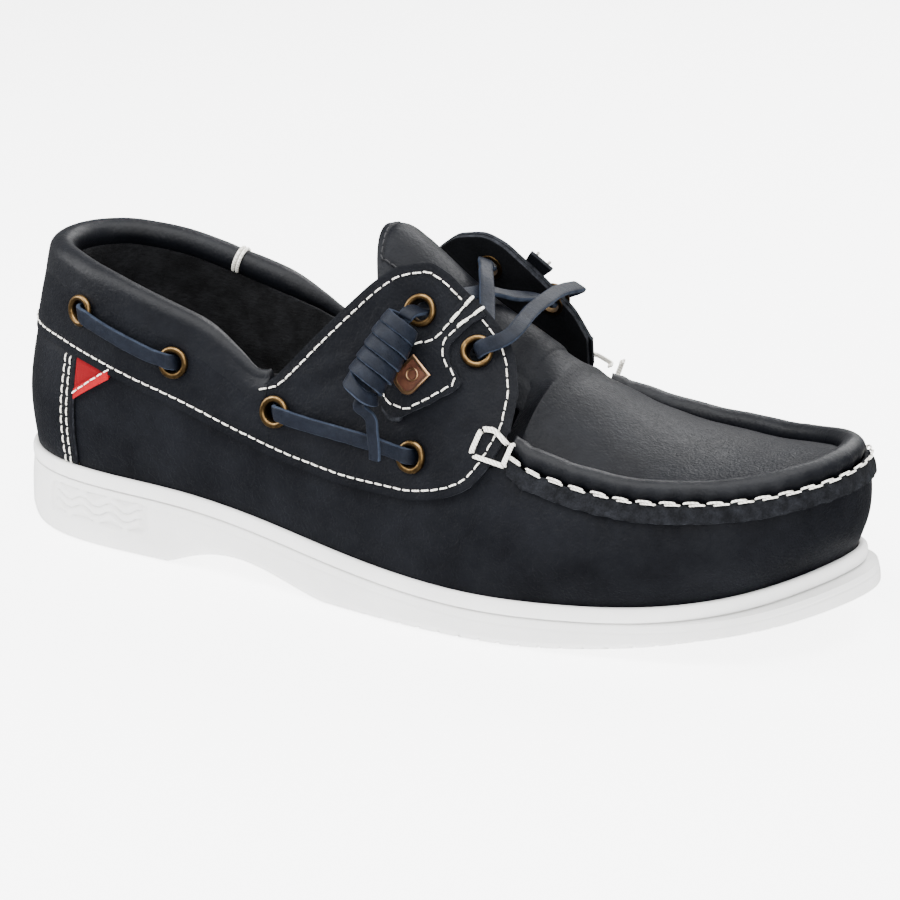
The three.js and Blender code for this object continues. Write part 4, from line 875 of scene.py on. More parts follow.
# stitches
def stitchTree():
    tree = bpy.data.node_groups.new("stitches", "GeometryNodeTree")
    face = tree.interface
    face.new_socket("Geometry", in_out="INPUT", socket_type="NodeSocketGeometry")
    for name, value in (("Pitch", 3.6 * mm), ("Stitch length", 2.5 * mm), ("Thread", 1 * mm),
                        ("Rise", 0.6 * mm), ("Jitter", 0.06)):
        face.new_socket(name, in_out="INPUT", socket_type="NodeSocketFloat").default_value = value
    face.new_socket("Material", in_out="INPUT", socket_type="NodeSocketMaterial")
    face.new_socket("Geometry", in_out="OUTPUT", socket_type="NodeSocketGeometry")
    start, end = tree.nodes.new("NodeGroupInput"), tree.nodes.new("NodeGroupOutput")

    def add(kind, links=(), **values):
        return node(tree, kind, links, **values)

    def maths(operation, a, b):
        made = tree.nodes.new("ShaderNodeMath")
        made.operation = operation
        for socket, value in zip(made.inputs, (a, b)):
            if isinstance(value, (int, float)):
                socket.default_value = value
            else:
                tree.links.new(value, socket)
        return made.outputs[0]

    # one stitch: a low arch of thread along x, thinner at its two ends
    endX = maths("MULTIPLY", start.outputs["Stitch length"], 0.5)
    low = maths("MULTIPLY", start.outputs["Rise"], -0.6)
    corners = [add("ShaderNodeCombineXYZ", {"X": x, "Z": z}) for x, z in (
        (maths("MULTIPLY", endX, -1), low), (maths("MULTIPLY", endX, -0.9), start.outputs["Rise"]),
        (maths("MULTIPLY", endX, 0.9), start.outputs["Rise"]), (endX, low))]
    arch = tree.nodes.new("GeometryNodeCurvePrimitiveBezierSegment")
    arch.inputs["Resolution"].default_value = 7
    for socket, corner in zip(("Start", "Start Handle", "End Handle", "End"), corners):
        tree.links.new(corner.outputs[0], arch.inputs[socket])
    factor = tree.nodes.new("GeometryNodeSplineParameter").outputs["Factor"]
    bulge = maths("SINE", maths("MULTIPLY", factor, math.pi), 0)
    width = maths("ADD", maths("MULTIPLY", bulge, 0.45), 0.62)
    thick = add("GeometryNodeSetCurveRadius", {"Curve": arch.outputs["Curve"]})
    tree.links.new(maths("MULTIPLY", width, maths("MULTIPLY", start.outputs["Thread"], 0.5)),
                   thick.inputs["Radius"])
    ring = tree.nodes.new("GeometryNodeCurvePrimitiveCircle")
    ring.inputs["Resolution"].default_value = 7
    ring.inputs["Radius"].default_value = 1
    body = add("GeometryNodeCurveToMesh", {"Curve": thick.outputs[0], "Profile Curve": ring.outputs["Curve"]})
    body.inputs["Fill Caps"].default_value = True
    if "Scale" in body.inputs:
        tree.links.new(maths("MULTIPLY", width, maths("MULTIPLY", start.outputs["Thread"], 0.5)),
                       body.inputs["Scale"])
    # the seam's line, with a stitch standing on each of its even points
    line = add("GeometryNodeMeshToCurve", {"Mesh": start.outputs["Geometry"]})
    even = add("GeometryNodeResampleCurve", {"Curve": line.outputs[0], "Length": start.outputs["Pitch"]},
               mode="LENGTH")
    up = add("GeometryNodeInputNamedAttribute", data_type="FLOAT_VECTOR", Name="up")
    tangent = tree.nodes.new("GeometryNodeInputTangent").outputs[0]
    facing = add("FunctionNodeAlignRotationToVector", {"Vector": tangent}, axis="X")
    standing = add("FunctionNodeAlignRotationToVector",
                   {"Vector": up.outputs["Attribute"], "Rotation": facing.outputs[0]}, axis="Z",
                   pivot_axis="X")
    swing = add("FunctionNodeRandomValue", data_type="FLOAT", Seed=4)
    floats = [s for s in swing.inputs if s.type == "VALUE" and s.enabled]
    tree.links.new(maths("MULTIPLY", start.outputs["Jitter"], -1), floats[0])
    tree.links.new(start.outputs["Jitter"], floats[1])
    turned = add("FunctionNodeAxisAngleToRotation", {"Angle": [s for s in swing.outputs if s.enabled][0]},
                 Axis=(0, 0, 1))
    rotation = add("FunctionNodeRotateRotation",
                   {"Rotation": standing.outputs[0], "Rotate By": turned.outputs[0]},
                   rotation_space="LOCAL")
    each = add("GeometryNodeInstanceOnPoints", {"Points": even.outputs[0], "Instance": body.outputs[0],
                                                "Rotation": rotation.outputs[0]})
    real = add("GeometryNodeRealizeInstances", {"Geometry": each.outputs[0]})
    painted = add("GeometryNodeSetMaterial", {"Geometry": real.outputs[0],
                                              "Material": start.outputs["Material"]})
    tree.links.new(painted.outputs[0], end.inputs[0])
    return tree


stitches = stitchTree()
stitchInputs = {item.name: item.identifier for item in stitches.interface.items_tree
                if item.in_out == "INPUT"}


def stitchRow(name, rows, material=None, pitch=3.6, length=2.6, thickness=1.0, rise=0.35, jitter=0.06):
    # rows: lines of points, each with the surface's normals along it
    points, normals, edges = [], [], []
    for line, up in rows:
        first = sum(len(p) for p in points)
        points.append(line)
        normals.append(up)
        edges += [(first + i, first + i + 1) for i in range(len(line) - 1)]
    mesh = bpy.data.meshes.new(name)
    mesh.from_pydata(toFrame(np.concatenate(points)).tolist(), edges, [])
    attribute = mesh.attributes.new("up", "FLOAT_VECTOR", "POINT")
    attribute.data.foreach_set("vector", np.concatenate(normals).astype(np.float32).ravel())
    obj = bpy.data.objects.new(name, mesh)
    bpy.context.scene.collection.objects.link(obj)
    maker = obj.modifiers.new("stitches", "NODES")
    maker.node_group = stitches
    for key, value in {"Pitch": pitch * mm, "Stitch length": length * mm, "Thread": thickness * mm,
                       "Rise": rise * mm, "Jitter": jitter, "Material": material or whiteThread}.items():
        maker[stitchInputs[key]] = value
    obj = settle(obj, 80)
    return obj


def insideEdge(points, normals, distance):
    # a line a little inside an edge, on the left of its direction as seen from outside
    along = unit(np.gradient(points, axis=0))
    return points + np.cross(normals, along) * distance


def eased(points, times):
    points = points.copy()
    for _ in range(times):
        points[1:-1] = (points[:-2] + 2 * points[1:-1] + points[2:]) / 4
    return points


def surfaceLine(us, vs, out):
    return upperPoint(us, vs, np.full(len(us), float(out))), lastNormal(us, vs)


print("stitching ready")

# sole, bed and lining
sole = {"heelBreast": 66, "archEnd": 130, "archLift": 6.8, "springStart": 200, "toeSpring": 15.5,
        "toeLip": 5, "sipePitch": 7, "sipeDepth": 1.5, "sipeWidth": 0.9,
        # raised waves in a sunk panel on the outer side of the heel: x and z from and to, then depth
        "panel": (18, 60, 8.6, 19.6, 0.8)}
shoeEnd = 295.6


def groundLine(x):
    spring = np.maximum(0,
                        (x - sole["springStart"]) / (shoeEnd + sole["toeLip"] - sole["springStart"])) ** 1.5
    arch = np.clip((x - sole["heelBreast"]) / (sole["archEnd"] - sole["heelBreast"]), 0, 1)
    return spring * sole["toeSpring"] + sole["archLift"] * np.sin(math.pi * arch ** 0.8) ** 1.4


def sipe(x, y):
    # 1 in the middle of a wavy cut across the tread, 0 between the cuts
    place = (x + 1.3 * np.sin(y * 0.55)) / sole["sipePitch"]
    away = np.abs(place - np.round(place)) * sole["sipePitch"]
    cutting = np.clip(1.3 - away / (sole["sipeWidth"] / 2), 0, 1)
    fore = smooth((x - 134) / 8) * smooth((289 - x) / 8)
    heel = smooth((58 - x) / 6) * smooth((x - 9) / 4) * smooth((27 - np.abs(y)) / 3)
    return cutting * np.maximum(fore, heel)


def heelPanel(x, z, y):
    # how far the sole's side sinks (-) for the panel, with its waves back at the full height
    low, high, bottom, top, depth = sole["panel"]
    corner = 3.0
    dx = np.maximum(np.abs(x - (low + high) / 2) - (high - low) / 2 + corner, 0)
    dz = np.maximum(np.abs(z - (bottom + top) / 2) - (top - bottom) / 2 + corner, 0)
    sunk = np.clip((corner - np.hypot(dx, dz)) / 0.7, 0, 1) * (y < 0)
    middle = (bottom + top) / 2
    waves = 0
    for row in (-2.9, 0, 2.9):
        away = np.abs(z - middle - row - 1.1 * np.sin((x - low) * 2 * math.pi / 12))
        waves = np.maximum(waves, np.clip((1.35 - away) / 0.6, 0, 1))
    waves = waves * np.clip((np.minimum(x - low, high - x) - 2.4) / 0.8, 0, 1)
    return -depth * sunk * (1 - waves)


def sideStations(step):
    fine = np.linspace(0, half, 3000)
    run = np.concatenate([[0], np.cumsum(np.linalg.norm(np.diff(rimPoint(fine, 0, 0), axis=0), axis=1))])
    return np.interp(spread(0, run[-1], step), run, fine)


def outlineBody(name, us, levels, materials, columns, bottom=None):
    # rings round the foot, bottom first, closed below and above by ribs from side to side
    ring = np.concatenate([us, full - us[-2:0:-1]])
    rings = np.stack([rimPoint(ring, *level(ring)) for level in levels])
    if bottom is not None:
        rings[0][:, 2] = bottom(rings[0])
    count = len(ring)
    points, faces = [rings.reshape(-1, 3)], [gridFaces(len(rings), count, True)]
    near = np.arange(len(us))
    for level in (0, len(rings) - 1):
        a, b = rings[level][near], rings[level][(-near) % count]
        sheet = a[:, None] + (b - a)[:, None] * np.linspace(0, 1, columns + 1)[None, :, None]
        if level == 0 and bottom is not None:
            sheet[..., 2] = bottom(sheet)
        quads = gridFaces(len(us), columns + 1, start=sum(len(p) for p in points))
        faces.append(quads if level else quads[:, ::-1])
        points.append(sheet.reshape(-1, 3))
    obj = meshObject(name, np.concatenate(points), np.concatenate(faces), materials)
    bm = bmesh.new()
    bm.from_mesh(obj.data)
    bmesh.ops.remove_doubles(bm, verts=bm.verts, dist=0.01 * mm)
    bmesh.ops.dissolve_degenerate(bm, edges=bm.edges, dist=0.001 * mm)
    bmesh.ops.recalc_face_normals(bm, faces=bm.faces)
    bm.to_mesh(obj.data)
    bm.free()
    obj.data.shade_smooth()
    obj.data.set_sharp_from_angle(angle=math.radians(50))
    return obj


def makeSole():
    def bulge(u):
        return mix(0.8, sole["toeLip"], smooth((rimX(u) / shoeEnd - 0.78) / 0.2))

    # the side: height share from the ground to the groove below the band, then share of the bulge
    side = curveThrough([(0, -1.9), (0.02, -1.0), (0.06, -0.35), (0.12, 0.1), (0.3, 0.8), (0.62, 0.72),
                         (1, 0.15)])
    levels = [lambda u: (np.full(u.shape, -7.0), groundLine(rimX(u))),
              lambda u: (np.full(u.shape, -3.4), groundLine(rimX(u)))]

    def wall(t):
        def level(u):
            ground, top = groundLine(rimX(u)), rimHeight(u) - last["rimBand"] - 0.45
            z = mix(ground, top, t)
            out = side(np.full(u.shape, t)) + (bulge(u) - 0.8) * smooth(t / 0.22) * mix(1, 0.82, t)
            place = rimPoint(u, out, z)
            notch = sipe(place[:, 0], place[:, 1]) * np.clip(1 - (z - ground) / 2.6, 0, 1)
            out = out - sole["sipeDepth"] * notch + heelPanel(place[:, 0], z, place[:, 1])
            # a faint second line under the band
            return out - 0.22 * np.clip(1 - np.abs(top - 2.4 - z) / 0.5, 0, 1), z
        return level

    levels += [wall(t) for t in (0, 0.02, 0.045, 0.075)] + [wall(t) for t in spread(0.105, 0.965, 0.028)]
    band = [(-0.1, -5.4), (-0.95, -5.2), (-0.95, -4.95), (-0.1, -4.75), (0.22, -4.3), (0.4, -3.4),
            (0.42, -2.4),
            (0.34, -1.4), (0.1, -0.6), (-0.35, -0.14), (-0.95, 0.02), (-1.7, -0.06), (-2.4, -0.35),
            (-2.5, -1.2),
            (-2.1, -6)]
    levels += [lambda u, out=out, z=z: (np.full(u.shape, float(out)), rimHeight(u) + z) for out, z in band]

    def tread(p):
        ground = groundLine(p[..., 0])
        return ground + sole["sipeDepth"] * sipe(p[..., 0], p[..., 1])

    obj = outlineBody("sole_body", sideStations(0.62), levels, [rubber], 44, tread)
    place(obj, "sole_rubber", "outsole")


def makeBed():
    bottom, top, inset = -1.0, 3.5, 7.2
    levels = [lambda u, i=i, z=z: (np.full(u.shape, -inset - i), rimHeight(u) + z) for i, z in (
        (0.6, bottom), (0, bottom + 0.6), (0, top - 1.4), (0.25, top - 0.6), (0.9, top - 0.15), (2, top),
        (5, top))]
    place(outlineBody("footbed_leather", sideStations(2), levels, [bedLeather], 20), "footbed_leather",
          "footbed")


makeSole()
makeBed()

# lining, stiffeners and foam
counterFront = locate((30, 50), "outer")[0]
liningFront = locate((112, 60), "outer")[0]
collarFront = {"outer": locate((104, 72), "outer")[0], "inner": locate((104, 72), "inner")[0] - full}
jointU = locate((61, 80), "inner")[0] - full
flapEnd = {"outer": locate((192.6, 71), "outer")[0], "inner": locate((188.5, 69.5), "inner")[0] - full}


def stations(start, end, step=1.2):
    # stations from start to end about this many millimetres apart along the upper
    fine = np.linspace(start, end, 600)
    run = np.concatenate([[0], np.cumsum(np.linalg.norm(np.diff(lastPoint(fine, 0.4), axis=0), axis=1))])
    return np.interp(spread(0, run[-1], step), run, fine)


def liningDepth(u, v):
    padded = smooth((v - seamV(u) + share(u, 16)) / share(u, 18))
    return mix(-1.7, -5.4, padded)


def makeLining():
    us = stations(-liningFront, liningFront, 1.6)
    folded = np.sign(us) * np.minimum(np.abs(us), collarFront["outer"])
    high = np.minimum(flapV(us), flapV(folded)) + share(us, 1.6)

    def nappy(u, v, points):
        return (liningDepth(u, v) + 0.35 * ripple(points, 9, 3) * smooth((v - seamV(u)) / share(u, 12))
                + 0.1 * ripple(points, 2.2, 8))

    obj = upperSheet("nap_lining", us, share(us, -0.6), high, 1.6, 0.0, 1.0, [nap, nap], sculpt=nappy)
    place(obj, "lining_nap", "quarter_lining")


def makeHidden():
    us = stations(-counterFront + 0.06, counterFront - 0.06, 2.5)
    obj = upperSheet("heel_stiffener_shell", us, share(us, -5), wrapHeelV(us), 2.5, -0.05, 1.2,
                     [stiffener, stiffener])
    place(obj, "stiffener", "heel_stiffener")
    us = stations(half - 1.6, half + 1.6, 2.5)
    obj = upperSheet("toe_puff_shell", us, share(us, 3), ringV(us) - share(us, 9), 2.5, -1.75, 0.8,
                     [stiffener, stiffener])
    place(obj, "stiffener", "toe_puff")
    for side, start, end in (("outer", jointU + 0.02, collarFront["outer"] - 0.05),
                             ("inner", collarFront["inner"] + 0.05, jointU - 0.02)):
        us = stations(start, end, 2)
        obj = upperSheet("collar_foam_pad_" + side, us, wrapHeelV(us) + share(us, 0.6), flapV(us), 2, -3.0,
                         1.6,
                         [foamFill, foamFill])
        place(obj, "foam", "collar_foam_" + side)


# vamp and counter
def moccasinPleats(u, v):
    # little folds of the vamp between the stitches
    below = (ringV(u) - v) * (lastHeight(u) - rimHeight(u))
    run = np.interp(u, pleatU, pleatRun)
    folds = 0.3 * np.cos(2 * math.pi * run / mocPitch) * np.exp(-np.maximum(below, 0) / 6)
    ends = smooth((u - pleatU[0]) / 0.4) * smooth((pleatU[-1] - u) / 0.4)
    return folds * ends


def vampCreases(u, v, points):
    # creases that spread from the seam's start, and soft waves over the whole vamp
    x, z = points[..., 0], points[..., 2]
    below = (wrapV(u) - v) * (lastHeight(u) - rimHeight(u))
    angle = np.arctan2(z - 104, x - 196)
    reach = smooth((x - 168) / 22) * smooth((262 - x) / 34)
    wave = np.sin(angle * 118 + 3.2 * ripple(points, 13,
                                             1)) + 0.6 * np.sin(angle * 211 + 2.4 * ripple(points, 8, 2))
    fade = np.exp(-np.maximum(below - 5, 0) / 11) * (0.55 + 0.45 * ripple(points, 12, 5))
    soft = 0.22 * ripple(points, 24, 6) + 0.07 * ripple(points, 6, 7)
    return 0.34 * wave * fade * reach + soft + np.where(np.abs(u - half) < half - foldStart,
                                                        moccasinPleats(u, v), 0)


mocPitch = 7.4
foldStart = locate((194.5, 58), "outer")[0]
foldStop = locate((194.5, 58), "inner")[0]
pleatU = np.linspace(foldStart, foldStop, 400)
pleatRun = np.concatenate([[0], np.cumsum(np.linalg.norm(np.diff(lastPoint(pleatU, ringV(pleatU)), axis=0),
                                                        axis=1))])
mocPitch = pleatRun[-1] / round(pleatRun[-1] / mocPitch)


def makeVamp():
    us = stations(counterFront, full - counterFront, 1.25)
    obj = upperSheet("vamp_leather", us, share(us, -4.5), wrapV(us), 1.25, 0.0, 1.3, [navy, rawEdge],
                     sculpt=vampCreases, edge=0.3)
    place(obj, "upper_leather", "vamp")
    us = stations(-counterFront, counterFront, 1.25)
    obj = upperSheet("heel_counter_leather", us, share(us, 0.15), seamV(us) - share(us, -1.5), 1.25, 1.25,
                     1.2,
                     [navy, rawEdge], edge=0.35,
                     sculpt=lambda u, v, p: 0.12 * ripple(p, 22, 9)
                     - 0.55 * smooth((v - seamV(u) + share(u, 2.5)) / share(u, 2.5)))
    place(obj, "upper_leather", "heel_counter")
    us = stations(foldStart, foldStop, 0.9)
    ragged = 0.35 * ripple(lastPoint(us, ringV(us)), 3.5, 4) + 0.22 * ripple(lastPoint(us, ringV(us)), 1.3, 5)
    obj = upperSheet("apron_skirt_leather", us, ringV(us) - share(us, 5.4) + share(us, ragged),
                     ringV(us) - share(us, 0.2),
                     0.7, 1.75, 1.5, [fleshSide, rawEdge], edge=0.3,
                     sculpt=lambda u, v, p: 0.16 * ripple(p, 2.6, 11) + 0.1 * ripple(p, 1.0, 12)
                     + 0.8 * moccasinPleats(u, v) - 0.5 * smooth((v - ringV(u) + share(u, 2)) / share(u, 2)))
    place(obj, "raw_edge", "apron_skirt")


makeLining()
makeHidden()
makeVamp()
print("sole, lining and vamp ready")

# eyelets' places, overlays, flap linings and patches
def edgeStations(start, end, step, *edges):
    # stations no further apart than the step along any of these edge lines
    fine = np.linspace(start, end, 1500)
    gaps = [np.linalg.norm(np.diff(lastPoint(fine, edge(fine)), axis=0), axis=1) for edge in edges]
    run = np.concatenate([[0], np.cumsum(np.max(gaps, axis=0))])
    return np.interp(spread(0, run[-1], step), run, fine)


def holesOn(side, spots):
    return [(eyelets[side, spot]["place"], eyelets[side, spot]["normal"]) for spot in spots]


def dimples(points, side, spots):
    # the leather is drawn in a little round each eyelet
    sink = 0
    for spot in spots:
        away = np.linalg.norm(points - eyelets[side, spot]["place"], axis=-1)
        sink = sink - 0.35 * np.exp(-((away - 3.9) / 2.6) ** 2)
    return sink


def overlayWear(side):
    def sculpt(u, v, points):
        # softly waved leather, with slack wrinkles where the flap bends out of the collar
        x, z = points[..., 0], points[..., 2]
        flap = smooth((x - 112) / 26) * smooth((z - 60) / 14)
        fold = np.sin((x * 0.75 - z) * 0.42 + 2.4 * ripple(points, 15, 21)) * (0.5 + 0.5 * ripple(points,
                                                                                                  10, 22))
        slack = smooth((x - 108) / 12) * smooth((152 - x) / 26) * smooth((z - 58) / 14)
        return (0.24 * ripple(points, 26, 23) + 0.08 * ripple(points, 6, 24) + 0.3 * fold * slack
                + 0.14 * flap * ripple(points, 7, 25) + dimples(points, side, eyeletSpots))
    return sculpt


def collarTop(u):
    # under the collar roll the overlay ends a little lower
    low = smooth((collarFront["outer"] + 0.12 - np.abs(u)) / 0.18)
    return flapV(u) - share(u, 2.2) * low


def makeOverlays():
    for side, start, end in (("outer", jointU + 0.02, flapEnd["outer"]),
                             ("inner", flapEnd["inner"], jointU - 0.02)):
        us = edgeStations(start, end, 1.05, seamV, flapV)
        spots = [spot for spot in eyeletSpots if start < eyelets[side, spot]["u"] < end]
        obj = upperSheet("quarter_leather_" + side, us, seamV(us), collarTop(us), 1.05, 1.7, 1.38,
                         [navy, rawEdge],
                         holesOn(side, spots), overlayWear(side), edge=0.4)
        place(obj, "upper_leather", "quarter_overlay_" + side)
        bottom = abs(locate((124, 60), side)[0] - (full if side == "inner" else 0))
        ends = (bottom, flapEnd["outer"] - 0.04) if side == "outer" else (flapEnd["inner"] + 0.04, -bottom)
        us = edgeStations(*ends, 1.05, seamV, flapV)
        obj = upperSheet("flap_lining_leather_" + side, us, wrapHeelV(us) + share(us, 0.6),
                         flapV(us) - share(us, 0.2),
                         1.05, 0.34, 1.7, [innerBlack, rawEdge], holesOn(side, throughFlap), edge=0.4,
                         sculpt=lambda u, v, p: 0.08 * ripple(p, 5, 27))
        place(obj, "flap_lining", "flap_lining_" + side)


patchRear = [[170.3, 103.2], [165, 95.6], [160.5, 89.8], [154, 87.6], [148.5, 83], [146, 76], [148, 69]]
patchFront = [[177.3, 97.5], [171.8, 92.6], [168.4, 87.6], [169.6, 83], [174.5, 77.6], [167.5, 72], [157, 66]]
patchOut = 3.3


def patchEdges(side):
    edges = []
    for spots in (patchRear, patchFront):
        places = np.array([heelSpot(spot, side) for spot in spots])
        edges.append([curveThrough(list(enumerate(places[:, k]))) for k in (0, 1)])
    return edges


def patchPoint(side, t, c):
    # t runs down the patch from 0 to 6, c across it from its rear edge to its front edge
    (rearU, rearV), (frontU, frontV) = patchEdges(side)
    return mix(rearU(t), frontU(t), c), mix(rearV(t), frontV(t), c)


def makePatches():
    for side in ("outer", "inner"):
        t, c = np.meshgrid(np.linspace(6, 0, 76), np.linspace(0, 1, 28), indexing="ij")
        t = t + 0.42 * np.sin(math.pi * c) * smooth((t - 5) / 1)  # the lower end is a shallow arc
        u, v = patchPoint(side, np.minimum(t, 6), c)
        v = v - share(u, 2.2) * np.sin(math.pi * c) * smooth((t - 5) / 1)
        if side == "inner":
            u, v = u[:, ::-1], v[:, ::-1]
        points, normals = lastPoint(u, v), lastNormal(u, v)
        relief = (0.12 * ripple(points, 7, 31) + 0.16 * ripple(points, 20, 32)
                  + dimples(points, side, ("flap_upper", "flap_lower")))
        obj = gridSheet("saddle_leather_" + side, points, normals, patchOut, 1.4, [navy, rawEdge],
                        relief=relief)
        place(obj, "upper_leather", "saddle_patch_" + side)


makeOverlays()
makePatches()
print("overlays and patches ready")

# collar rolls
collar = {"radius": last["roll"], "step": 1.2, "tuck": 5.5}


def collarSection():
    # out from the roll's middle, then up from it: from the overlay, over the top, to the lining
    r = collar["radius"]
    profile = [(r - 0.75, -r - collar["tuck"]), (r - 0.22, -r - 4.4), (r + 0.04, -r - 3), (r + 0.16, -r - 1),
               (r + 0.3, -2.6)]
    profile += [((r + 0.38) * math.cos(a), (r + 0.3) * math.sin(a)) for a in np.linspace(0, math.pi, 19)]
    profile += [(-r + 0.05, -0.45 * r), (-r + 0.5, -0.8 * r), (-r + 1.5, -r - 0.3), (-r + 3, -r - 1.2)]
    return np.array(profile)


def makeCollarRoll(side, start, end):
    us = stations(start, end, collar["step"])
    tipU = collarFront["outer"] if side == "outer" else collarFront["inner"]
    tip = np.abs(np.abs(us) - abs(tipU)) * 24
    scale = 0.3 + 0.7 * smooth(tip / 24)
    seam = np.abs(us - jointU) * 20
    rings = []
    for i, u in enumerate(us):
        u = np.array(u)
        r = collar["radius"]
        section = collarSection() * (1 - 0.1 * math.exp(-seam[i] / 1.5)) * np.array([scale[i],
                                                                                     mix(0.6, 1, scale[i])])
        top = flapV(u) + share(u, r + 0.4 - (1 - scale[i]) * 6.5)
        middle, normal = upperPoint(u, top, 1.7 - r * scale[i] - 2.2 * (1 - scale[i])), lastNormal(u, top)
        along = unit(lastPoint(u + 0.05, flapV(u + 0.05)) - lastPoint(u - 0.05, flapV(u - 0.05)))
        up = unit(np.cross(normal, along))
        below = upperPoint(np.full(len(section), u), top + share(u, section[:, 1]),
                           1.7 - r * scale[i] + section[:, 0])
        above = middle + section[:, :1] * normal + section[:, 1:] * up
        rings.append(np.where(section[:, 1:] < 0, below, above))
    rings = np.array(rings)
    flow = unit(rings - rings.mean(1, keepdims=True))
    rings = rings + flow * (0.14 * ripple(rings, 16, 41) + 0.05 * ripple(rings, 4, 42))[..., None]
    obj = tube("collar_leather_" + side, rings.mean(1), rings, [softNavy])
    obj.data.shade_smooth()
    place(obj, "collar_leather", "collar_roll_" + side)


makeCollarRoll("outer", jointU + 0.012, collarFront["outer"] + 0.05)
makeCollarRoll("inner", collarFront["inner"] - 0.05, jointU - 0.012)

# moccasin seam roll
moc = {"radius": 3.95, "rise": 2.4, "inward": 4.6, "apronInward": 7.2}


def ringFrame(us):
    flat = lastNormal(us, np.full(len(us), 0.1))
    flat[:, 2] = 0
    return lastPoint(us, ringV(us)), unit(flat)


def makeSeamRoll():
    us = np.interp(spread(pleatRun[0], pleatRun[-1], 0.8), pleatRun, pleatU)
    edge, flat = ringFrame(us)
    run = np.interp(us, pleatU, pleatRun)
    middle = edge - flat * moc["inward"] + np.array([0, 0, moc["rise"]])
    angle = 2 * math.pi * np.arange(28) / 28
    # drawn in under each stitch on its outer lower side, with soft wrinkles over the top
    pinch = 0.32 * np.cos(2 * math.pi * run / mocPitch)[:, None] * np.clip(np.cos(angle + 0.7), 0,
                                                                           1)[None] ** 2
    ends = np.minimum(run, pleatRun[-1] - run)
    size = moc["radius"] * mix(0.72, 1.0, smooth(ends / 5))[:, None] * np.ones(28)[None] + pinch
    ring = (middle[:, None] + size[..., None] * (np.cos(angle)[None, :, None] * flat[:, None]
                                                 + np.sin(angle)[None, :, None] * np.array([0, 0, 1.0])))
    away = unit(ring - middle[:, None])
    ring = ring + away * (0.16 * ripple(ring, 9, 51) + 0.07 * ripple(ring, 2.6, 52))[..., None]
    obj = tube("seam_roll_leather", middle, ring, [softNavy])
    obj.data.shade_smooth()
    place(obj, "collar_leather", "seam_roll")


makeSeamRoll()
print("rolls ready")

# apron and tongue
crownAt = curveThrough([[192, 17.5], [207, 14.5], [222, 10.5], [243, 6.5], [262, 4.2], [276, 2.5],
                        [290, 1.2]])
hinge = np.array([189, 0, 82.0])
tongueShape = {"width": 43, "thickness": 2.2, "crown": 16.5, "corner": 7,
               "ridge": [[0, 0], [10, 5.6], [20, 10.8], [30, 17.2], [40, 24.6], [48, 30.5], [54, 33.5],
                         [58.5, 32.5]]}


def apronRoot(b):
    # under the flaps: over the tongue's root in the middle, and out to both flaps at its sides
    y = 40.5 * b
    aside = np.abs(y) / (tongueShape["width"] / 2)
    beyond = np.maximum(aside - 1, 0) * tongueShape["width"] / 2
    z = -tongueShape["crown"] * np.minimum(aside, 1) ** 2 - beyond * 0.62
    return hinge + np.stack([-2 * np.ones_like(b), y, z], -1)


def makeApron():
    rootRows, rows, columns = 34, 96, 84
    b = np.linspace(-1, 1, columns)
    lines = []
    for r in range(rows + rootRows):
        u = mix(foldStart, half - 0.3, max(0, r - rootRows) / (rows - 1))
        edge, flat = ringFrame(np.array([u, full - u]))
        ends = edge - flat * moc["apronInward"] + np.array([0, 0, moc["rise"] - 0.6])
        line = ends[0] + (ends[1] - ends[0]) * (b[:, None] + 1) / 2
        # tucked in under the roll, with a little valley along it
        away = (1 - np.abs(b)) * np.linalg.norm(ends[1] - ends[0]) / 2
        line[:, 2] += crownAt(line[:, 0]) * (1 - b * b) - 1.6 * np.exp(-away / 1.6)
        back = max(0, rootRows - r) / rootRows
        lines.append(mix(line, apronRoot(b), smooth(back) * 0.25 + back * 0.75))
    grid = np.array(lines)
    across, ahead = np.gradient(grid, axis=1), np.gradient(grid, axis=0)
    normals = unit(np.cross(ahead, across))
    normals = normals * np.sign(normals[..., 2:3])
    relief = (0.3 * ripple(grid, 30, 61) + 0.1 * ripple(grid, 8, 62))
    obj = gridSheet("apron_leather", grid[:, ::-1], normals[:, ::-1], 0.0, 1.4, [plugNavy, rawEdge],
                    relief=relief[:, ::-1])
    place(obj, "upper_leather", "apron")


def tonguePoint(t, b):
    # t along the tongue from its root to its free end, b across it from -1 to 1
    ridge = np.array([[-back - 0.5, 0, up] for back, up in tongueShape["ridge"]])
    at = np.linspace(0, 1, len(ridge))
    x, z = curveThrough(np.stack([at, ridge[:, 0]], 1)), curveThrough(np.stack([at, ridge[:, 2]], 1))
    half_ = tongueShape["width"] / 2 * mix(1, 0.93, t)
    corner = tongueShape["corner"] * t**3 * b**2
    return hinge + np.stack([x(t) + corner, half_ * b, z(t) - tongueShape["crown"] * b * b], -1)


